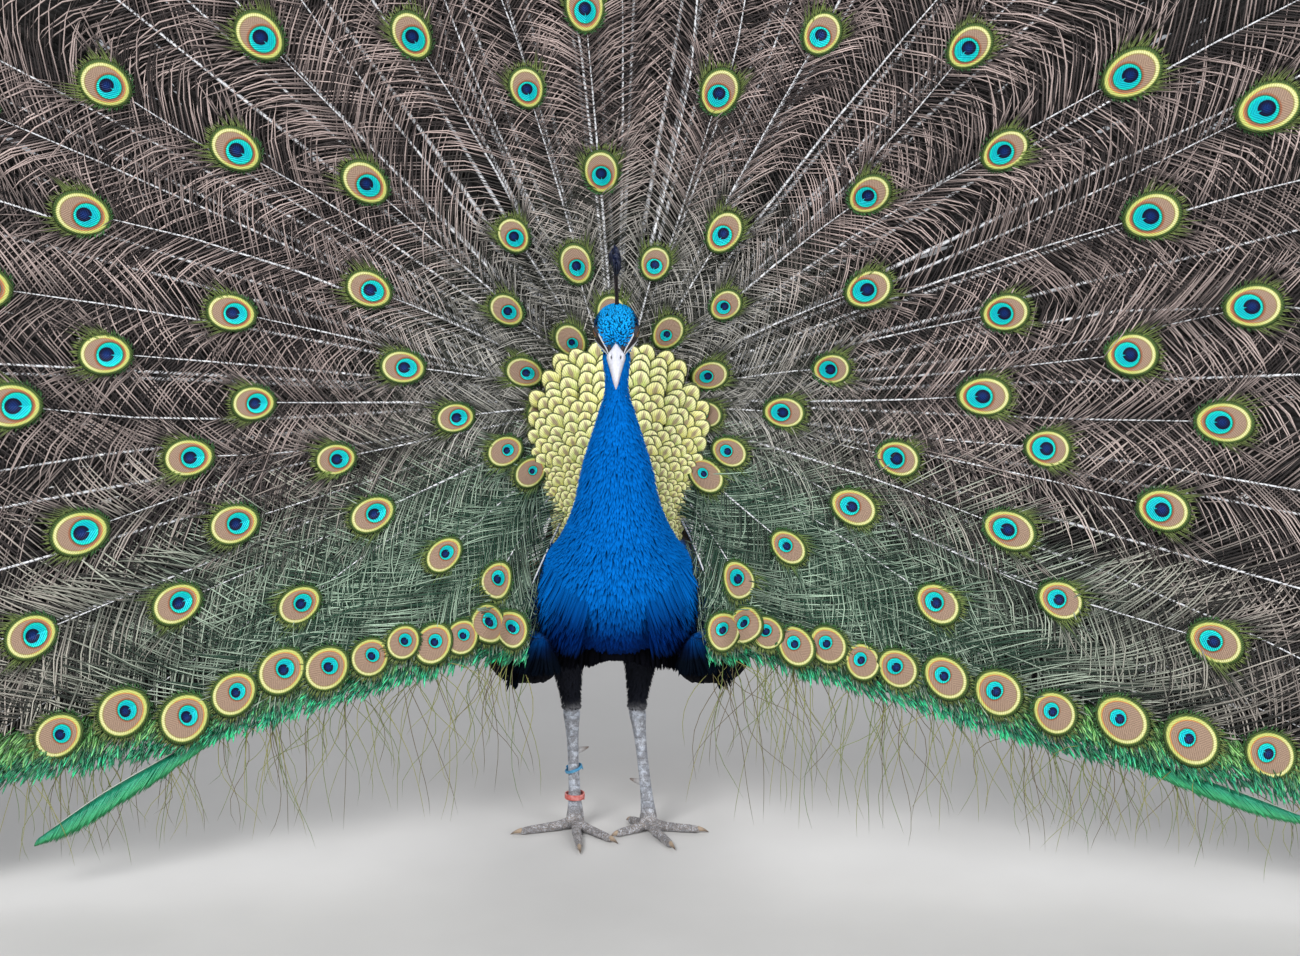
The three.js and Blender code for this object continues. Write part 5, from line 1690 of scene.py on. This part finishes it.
def eye_webs(which):
    """Closed domed ovals at the tips of these feathers, with a border of WEB_BORDER times
    the size of the eyed part. Gives the points, the triangles, each point's place across
    and along its web with the size of its disc, and the number of points in one."""
    turned = np.linspace(0, 2 * np.pi, EYE_ROUND, endpoint=False)
    ring, turned = (k.ravel() for k in gridded(EYE_RINGS, turned))
    across = np.concatenate([[0], ring * np.cos(turned), [0], np.cos(turned[:EYE_ROUND]) * 0.99])
    run = np.concatenate([[0], ring * np.sin(turned), [0], np.sin(turned[:EYE_ROUND]) * 0.99])
    behind = np.arange(len(across)) > len(ring)
    dome = 1 - across ** 2 - run ** 2
    axis = all_angle[which][:, None]
    centre = quill_place(all_radius, np.arange(len(all_radius)))[which]
    half, stretch = all_half[which][:, None], all_stretch[which][:, None]
    egg = 1 + 0.07 * run
    x, y = half * across * egg * WEB_BORDER, half * stretch * run * WEB_BORDER
    flat = centre[:, None] + aligned(axis, x, y)
    tilt = draw.normal(0, 0.06, (2, len(which), 1))
    depth = (all_depth[which][:, None] - 3.4 - 0.10 * half * dome + behind * 0.6
             + tilt[0] * x + tilt[1] * y)
    points = on_fan(flat, depth)
    n = EYE_ROUND
    j = np.arange(n)
    m = (j + 1) % n
    faces = [np.stack([0 * j, 1 + j, 1 + m], 1)]
    for k in range(len(EYE_RINGS) - 1):
        a, b = 1 + k * n + j, 1 + k * n + m
        faces += [np.stack([a, a + n, b + n], 1), np.stack([a, b + n, b], 1)]
    rim, back = 1 + (len(EYE_RINGS) - 1) * n, 2 + len(EYE_RINGS) * n
    faces += [np.stack([rim + j, back + j, back + m], 1), np.stack([rim + j, back + m, rim + m], 1),
              np.stack([0 * j + back - 1, back + m, back + j], 1)]
    faces = turned_out(points[0], np.concatenate(faces))
    count, size = points.shape[:2]
    place = np.stack([WEB_BORDER * np.tile(across, count), WEB_BORDER * np.tile(run, count),
                      np.repeat(all_disc[which], size)], 1)
    return points.reshape(-1, 3), copies(faces, size, count), place, size


draw = np.random.default_rng(81)
for name, side in SIDES.items():
    which = np.flatnonzero(lies_on(side, all_angle))
    points, faces, place, size = eye_webs(which)
    cells = int(np.ceil(np.sqrt(len(which))))
    cell = np.repeat(np.stack([np.arange(len(which)) % cells, np.arange(len(which)) // cells], 1),
                     size, 0)
    new_piece("train_eyes_" + name, points, faces, eye_web, "train_feather", place=place,
              bake=(cell + 0.5 + 0.38 * place[:, :2]) / cells)

# ---------------------------------------------------------------- fringe
# Short feathers with close, glossy vanes are packed along the low edge of the fan. They are
# emerald at the bottom of the band and golden green at its top.
FRINGE_EACH = 6900
FRINGE_END = 1088                     # distance of the last ones from the midline
FRINGE_HALF = 1.15
FRINGE_SHARES = np.array([0, 0.3, 0.7, 1])
TEAL = (0.008, 0.34, 0.25)


def fringe_paint(s):
    grain = s.noise(650, 4)
    glint = s.noise(2400, 1)
    lit = (0.45 + 0.9 * grain).shaded(s.mark("tint"))
    return {"Base Color": (glint.step(0.60, 0.72) * 0.5).blend(lit, (0.10, 0.60, 0.34)),
            "Roughness": 0.28 + 0.25 * grain, "Metallic": 0.3 * grain, "Height": grain}


fringe_finish = finish_of("glossy emerald vane", fringe_paint, Specular_IOR_Level=0.6)
for name, side in SIDES.items():
    draw = np.random.default_rng(91)
    count = FRINGE_EACH
    across = draw.uniform(EDGE_START, FRINGE_END, count)
    rise = draw.uniform(0.05, 1.0, count) ** 0.8
    z = low_edge(across) + FRINGE_HEIGHT * rise - FAN_CENTRE[1]
    root = np.stack([side * across, z], 1)
    way = side * np.radians(146 + draw.normal(0, 10, count) + 12 * np.sin(across / 27))
    length = draw.uniform(15, 27, count) * (0.65 + 0.5 * rise)
    flat = bent_lines(root, way, side * np.radians(draw.normal(14, 12, count)), length,
                      FRINGE_SHARES)
    half = FRINGE_HALF * draw.uniform(0.8, 1.25, count)[:, None] * np.array([0, 1.0, 0.75, 0])
    depth = (-1.5 - 7 * (1 - rise) + draw.normal(0, 0.8, count))[:, None] - 1.5 * FRINGE_SHARES
    chance = draw.uniform(0, 1, count)
    high = smooth_step(0.28, 0.62, rise + 0.25 * (chance - 0.5))
    base = mixed(mixed((0.004, 0.12, 0.050), TEAL, 0.5 * chance), (0.05, 0.18, 0.03), high)
    tips = mixed(mixed((0.030, 0.76, 0.30), LIME, 0.3 * chance), (0.50, 0.66, 0.20), 0.7 * high)
    marks = ring_shares(FRINGE_SHARES)
    tint = mixed(base[:, None], tips[:, None], smooth_step(0.3, 1.0, marks)[None])
    # The vanes' colours are scaled at random, and the few much brighter vanes are painted glints.
    new_piece("fringe_vanes_" + name, *mesh_of(barbs_on_fan(flat, depth, half, 0.7)),
              fringe_finish, "fringe_feather", ["train_fringe_" + name],
              tint=(tint * (0.22 + 1.85 * draw.uniform(0, 1, (count, 1, 1)) ** 2)).reshape(-1, 3),
              bake=patches(0.5 + root / BAKE_SPAN, marks))

# ---------------------------------------------------------------- hanging strands
# Loose, wiry single barbs that have worked free hang below the fringe. They curl a little
# and end above the floor.
STRANDS_EACH = 250
STRAND_LENGTH = 50, 230
STRAND_SHARES = np.linspace(0, 1, 9)
for name, side in SIDES.items():
    draw = np.random.default_rng(101 + side)
    count = STRANDS_EACH
    across = 100 + 900 * draw.uniform(0, 1, count) ** 1.25
    root = np.stack([side * across, low_edge(across) + draw.uniform(-4, 30, count)
                     - FAN_CENTRE[1]], 1)
    room = low_edge(across) - 12
    length = np.minimum(draw.uniform(*STRAND_LENGTH, count), room * 1.02)
    way = np.pi + side * np.radians(draw.normal(-8, 26, count))
    middles = halfway(STRAND_SHARES)
    curl = draw.normal(0, 0.45, (count, 1)) * np.sin(
        draw.uniform(3, 7, (count, 1)) * middles + draw.uniform(0, 6, (count, 1)))
    angle = np.pi + (way - np.pi)[:, None] * (1 - 0.75 * middles) + curl
    flat = walked(root, angle, length, STRAND_SHARES)
    flat[..., 1] = np.maximum(flat[..., 1], 6 - FAN_CENTRE[1])
    start = on_fan(root, 0)
    points = np.stack([flat[..., 0], start[:, None, 1] + draw.normal(0, 10, (count, 1))
                       * STRAND_SHARES, FAN_CENTRE[1] + flat[..., 1]], -1)
    across, out = sideways(points, [0, -1, 0])
    half = 0.5 * (1 - 0.5 * STRAND_SHARES)
    chance = draw.uniform(0, 1, count)
    tint = mixed(mixed((0.10, 0.19, 0.05), (0.34, 0.32, 0.09), chance), (0.16, 0.10, 0.06),
                 (chance < 0.2) * 0.8)
    marks = ring_shares(STRAND_SHARES)
    new_piece("strands_" + name, *spindles(points, across, out, half, 0.45), barb_finish,
              "fringe_feather", tint=np.repeat(tint, len(marks), 0),
              bake=patches(0.5 + root / BAKE_SPAN, marks))

# ---------------------------------------------------------------- sword feathers
# The longest low feather of each side has a close vane on its lower side only. It comes out
# from under the fringe and runs along it.
# Rows: distance from the midline, drop below a straight line near the low edge, and width.
SWORD = {"right": [[395, 4, 8], [440, 12, 18], [500, 28, 27], [560, 46, 27], [622, 72, 6]],
         "left": [[520, 4, 8], [575, 6, 20], [625, 8, 24], [680, 12, 20], [740, 18, 6]]}
SWORD_TOP, SWORD_FALL = 255, 0.205    # that line's height at the midline and its slope
SWORD_BARBS, SWORD_HALF = 520, 1.1
for name, side in SIDES.items():
    draw = np.random.default_rng(111)
    place = np.linspace(0, 4, SWORD_BARBS)
    across, drop, width = columns(along(SWORD[name], place))
    root = np.stack([side * across,
                     SWORD_TOP - SWORD_FALL * across - drop - FAN_CENTRE[1]], 1)
    run = unit(np.gradient(root, axis=0))
    way = np.arctan2(*columns(run)) + side * np.radians(34 + draw.normal(0, 2.5, SWORD_BARBS))
    flat = bent_lines(root, way, -side * np.radians(10 + 0 * place), width * 1.55, FRINGE_SHARES)
    half = SWORD_HALF * np.array([0, 1.0, 0.9, 0])
    points = barbs_on_fan(flat, draw.normal(0, 0.3, (SWORD_BARBS, 1)), half, 0.6)
    marks = ring_shares(FRINGE_SHARES)
    level = draw.uniform(0.7, 1.2, (SWORD_BARBS, 1, 1))
    tint = mixed((0.008, 0.30, 0.17), (0.05, 0.42, 0.14), smooth_step(0.2, 1.0, marks))
    shaft_line = on_fan(root[::26], -0.8)[None]
    shaft = quill_tubes(shaft_line, 1.1 - 0.7 * np.linspace(0, 1, shaft_line.shape[1]))
    both = joined([mesh_of(points), shaft])
    tints = np.concatenate([(tint * level).reshape(-1, 3),
                            np.tile([[0.55, 0.56, 0.50]], (len(shaft[0]), 1))])
    bake = np.concatenate([patches(0.5 + root / BAKE_SPAN, marks),
                           np.tile([[0.01, 0.01]], (len(shaft[0]), 1))])
    new_piece("sword_vane_" + name, *both, fringe_finish, "sword_feather",
              ["sword_feather_" + name], tint=tints, bake=bake)

# ---------------------------------------------------------------- tail
# Twenty stiff grey-brown feathers stand in a fan behind the train and prop it up. They
# are seen only from behind.
TAIL_COUNT, TAIL_LENGTH, TAIL_BEHIND = 20, 440, 34
TAIL_START = 60                       # from the fan's centre
TAIL_HALF = 13, 24                    # half width at the root, and that near the tip added
TAIL_SPREAD = np.radians(101)


def tail_paint(s):
    across, run, chance = s.mark("place", 1).parts()
    grain = s.noise(300, 4)
    lines = ((run * 6 - across.size()) * 40).wave()
    mottle = (run * 30 + grain * 9 + across * 2).wave().step(0.1, 0.7) * 0.5
    colour = mottle.blend((0.24, 0.19, 0.145), (0.10, 0.075, 0.055))
    colour = run.step(0.90, 1.0).blend(colour, (0.42, 0.36, 0.28))
    return {"Base Color": (0.85 + 0.2 * chance + 0.12 * lines).shaded(colour),
            "Roughness": 0.6 + 0.25 * grain, "Height": lines + grain}


share, across = gridded(np.linspace(0, 1, 19), np.linspace(-1, 1, 9))
share, across = share[None], across[None]
angles = np.linspace(-TAIL_SPREAD, TAIL_SPREAD, TAIL_COUNT)[:, None, None]
draw = np.random.default_rng(121)
reach = TAIL_LENGTH * draw.uniform(0.93, 1.0, (TAIL_COUNT, 1, 1))
# The last 0.18 of the length is rounded off.
half = (TAIL_HALF[0] + TAIL_HALF[1] * share ** 0.7) * np.sqrt(
    np.clip(1 - ((share - 0.82) / 0.185).clip(0, 1) ** 2, 0.02, 1))
run = TAIL_START + (reach - TAIL_START) * share
flat = aligned(angles, half * across, run)
order = np.where(np.arange(TAIL_COUNT) % 2, 1.6, -1.6)[:, None, None]
depth = TAIL_BEHIND + order - 1.6 * np.exp(-(across / 0.07) ** 2) + 3 * across ** 2 * share
parts, places, cells = [], [], []
for k in range(TAIL_COUNT):
    sheet = np.concatenate([on_fan(flat[k], depth[k] + 0 * share[0])[:, ::-1],
                            on_fan(flat[k], depth[k] + 0.7 + 0 * share[0])], 1)
    parts.append(closed_tube(sheet))
    wide = np.concatenate([across[0][:, ::-1], across[0]], 1).ravel()
    long = np.concatenate([share[0], share[0]], 1).ravel()
    place = np.stack([np.append(wide, [0, 0]), np.append(long, [0, 1]),
                      np.full(len(wide) + 2, (k * 0.37) % 1)], 1)
    places.append(place)
    cells.append(np.stack([(k + 0.5 + 0.45 * place[:, 0]) / TAIL_COUNT,
                           0.02 + 0.96 * place[:, 1]], 1))
points, faces = joined(parts)
new_piece("tail_feathers", points, faces, finish_of("grey brown tail", tail_paint), "tail_feather",
          ["tail"], bake=np.concatenate(cells), place=np.concatenate(places))

# ---------------------------------------------------------------- root coverts
# Fluffy grey-brown down fills the place where train and tail rise from the rump, and
# small bronze-green feathers cover the roots of the quills in front.
COVERT_SHARES = np.array([0, 0.3, 0.65, 0.9, 1])
COVERT_SPAN = 400                     # breadth of the plane that their bake maps cover
for name, count, reach, depth_range, dark, light, slot in (
        ("root_down", 1100, 150, (20, 60), (0.05, 0.042, 0.035), (0.30, 0.26, 0.21), "rump_feather"),
        ("root_coverts", 700, 66, (-9, 6), (0.03, 0.07, 0.02), (0.30, 0.32, 0.08),
         "train_feather")):
    draw = np.random.default_rng(131)
    radius = reach * np.sqrt(draw.uniform(0.01, 1, count))
    angle = draw.uniform(-1, 1, count) * np.radians(128)
    root = polar(radius, angle)
    flat = bent_lines(root, angle + draw.normal(0, 0.25, count), draw.normal(0, 0.5, count),
                      draw.uniform(18, 34, count), COVERT_SHARES)
    low, high = depth_range
    depth = (low + (high - low) * (1 - radius / reach) * draw.uniform(0.3, 1, count))[:, None] \
        + 4 * COVERT_SHARES
    half = draw.uniform(2.4, 4.2, count)[:, None] * np.array([0, 0.8, 1.0, 0.6, 0])
    marks = ring_shares(COVERT_SHARES)
    tint = mixed(dark, light, marks ** 1.5)[None] * draw.uniform(0.6, 1.2, (count, 1, 1))
    new_piece(name, *mesh_of(barbs_on_fan(flat, depth, half, 0.6)), down, slot,
              tint=tint.reshape(-1, 3), bake=patches(0.5 + root / COVERT_SPAN, marks))

# ---------------------------------------------------------------- floor, light and camera
# A plain pale floor and soft studio light. The camera stands a little over three metres
# in front of the bird and looks slightly down on it.
CAMERA_PLACE = 36, -3200, 1150
CAMERA_PITCH = np.radians(13)
IMAGE_WIDTH, FOCAL_PIXELS = 1300, 2962
SENSOR = 36.0
FLOOR_REACH, FLOOR_DROP = 6, 0.0004   # in metres; it lies this little below the soles


def floor_paint(s):
    grain = s.noise(6, 5)
    return {"Base Color": grain.blend((0.52, 0.51, 0.50), (0.60, 0.59, 0.58)),
            "Roughness": 0.75 + 0.1 * grain}


floor_mesh = bpy.data.meshes.new("floor")
floor_mesh.from_pydata([(x * FLOOR_REACH, y * FLOOR_REACH, -FLOOR_DROP)
                        for x, y in ((-1, -1), (1, -1), (1, 1), (-1, 1))], [], [(0, 1, 2, 3)])
floor = bpy.data.objects.new("floor", floor_mesh)
bpy.context.scene.collection.objects.link(floor)
floor_mesh.materials.append(finish_of("pale floor", floor_paint))

world = bpy.data.worlds.new("studio")
bpy.context.scene.world = world
world.use_nodes = True
world.node_tree.nodes["Background"].inputs["Color"].default_value = (0.80, 0.84, 0.90, 1)
world.node_tree.nodes["Background"].inputs["Strength"].default_value = 0.45
for name, place, aim, power, size in (
        ("key", (-1.6, -2.6, 2.9), (0, 0, 0.6), 120, 1.6),
        ("fill", (2.4, -2.6, 1.6), (0, 0, 0.6), 80, 2.2),
        ("back", (0.5, 2.6, 2.6), (0, 0, 0.7), 60, 2.0)):
    lamp = bpy.data.lights.new(name, "AREA")
    lamp.energy, lamp.size = power, size
    light = bpy.data.objects.new(name, lamp)
    bpy.context.scene.collection.objects.link(light)
    light.location = place
    away = np.array(place) - np.array(aim)
    light.rotation_euler = (np.arctan2(np.hypot(*away[:2]), away[2]), 0,
                            np.arctan2(away[1], away[0]) + np.pi / 2)

camera = bpy.data.objects.new("camera", bpy.data.cameras.new("camera"))
bpy.context.scene.collection.objects.link(camera)
camera.data.sensor_width = SENSOR
camera.data.lens = SENSOR * FOCAL_PIXELS / IMAGE_WIDTH
camera.location = (np.array(CAMERA_PLACE) + SHIFT) / 1000
camera.rotation_euler = (np.pi / 2 - CAMERA_PITCH, 0, 0)
bpy.context.scene.camera = camera
bpy.context.scene.view_settings.view_transform = "Standard"
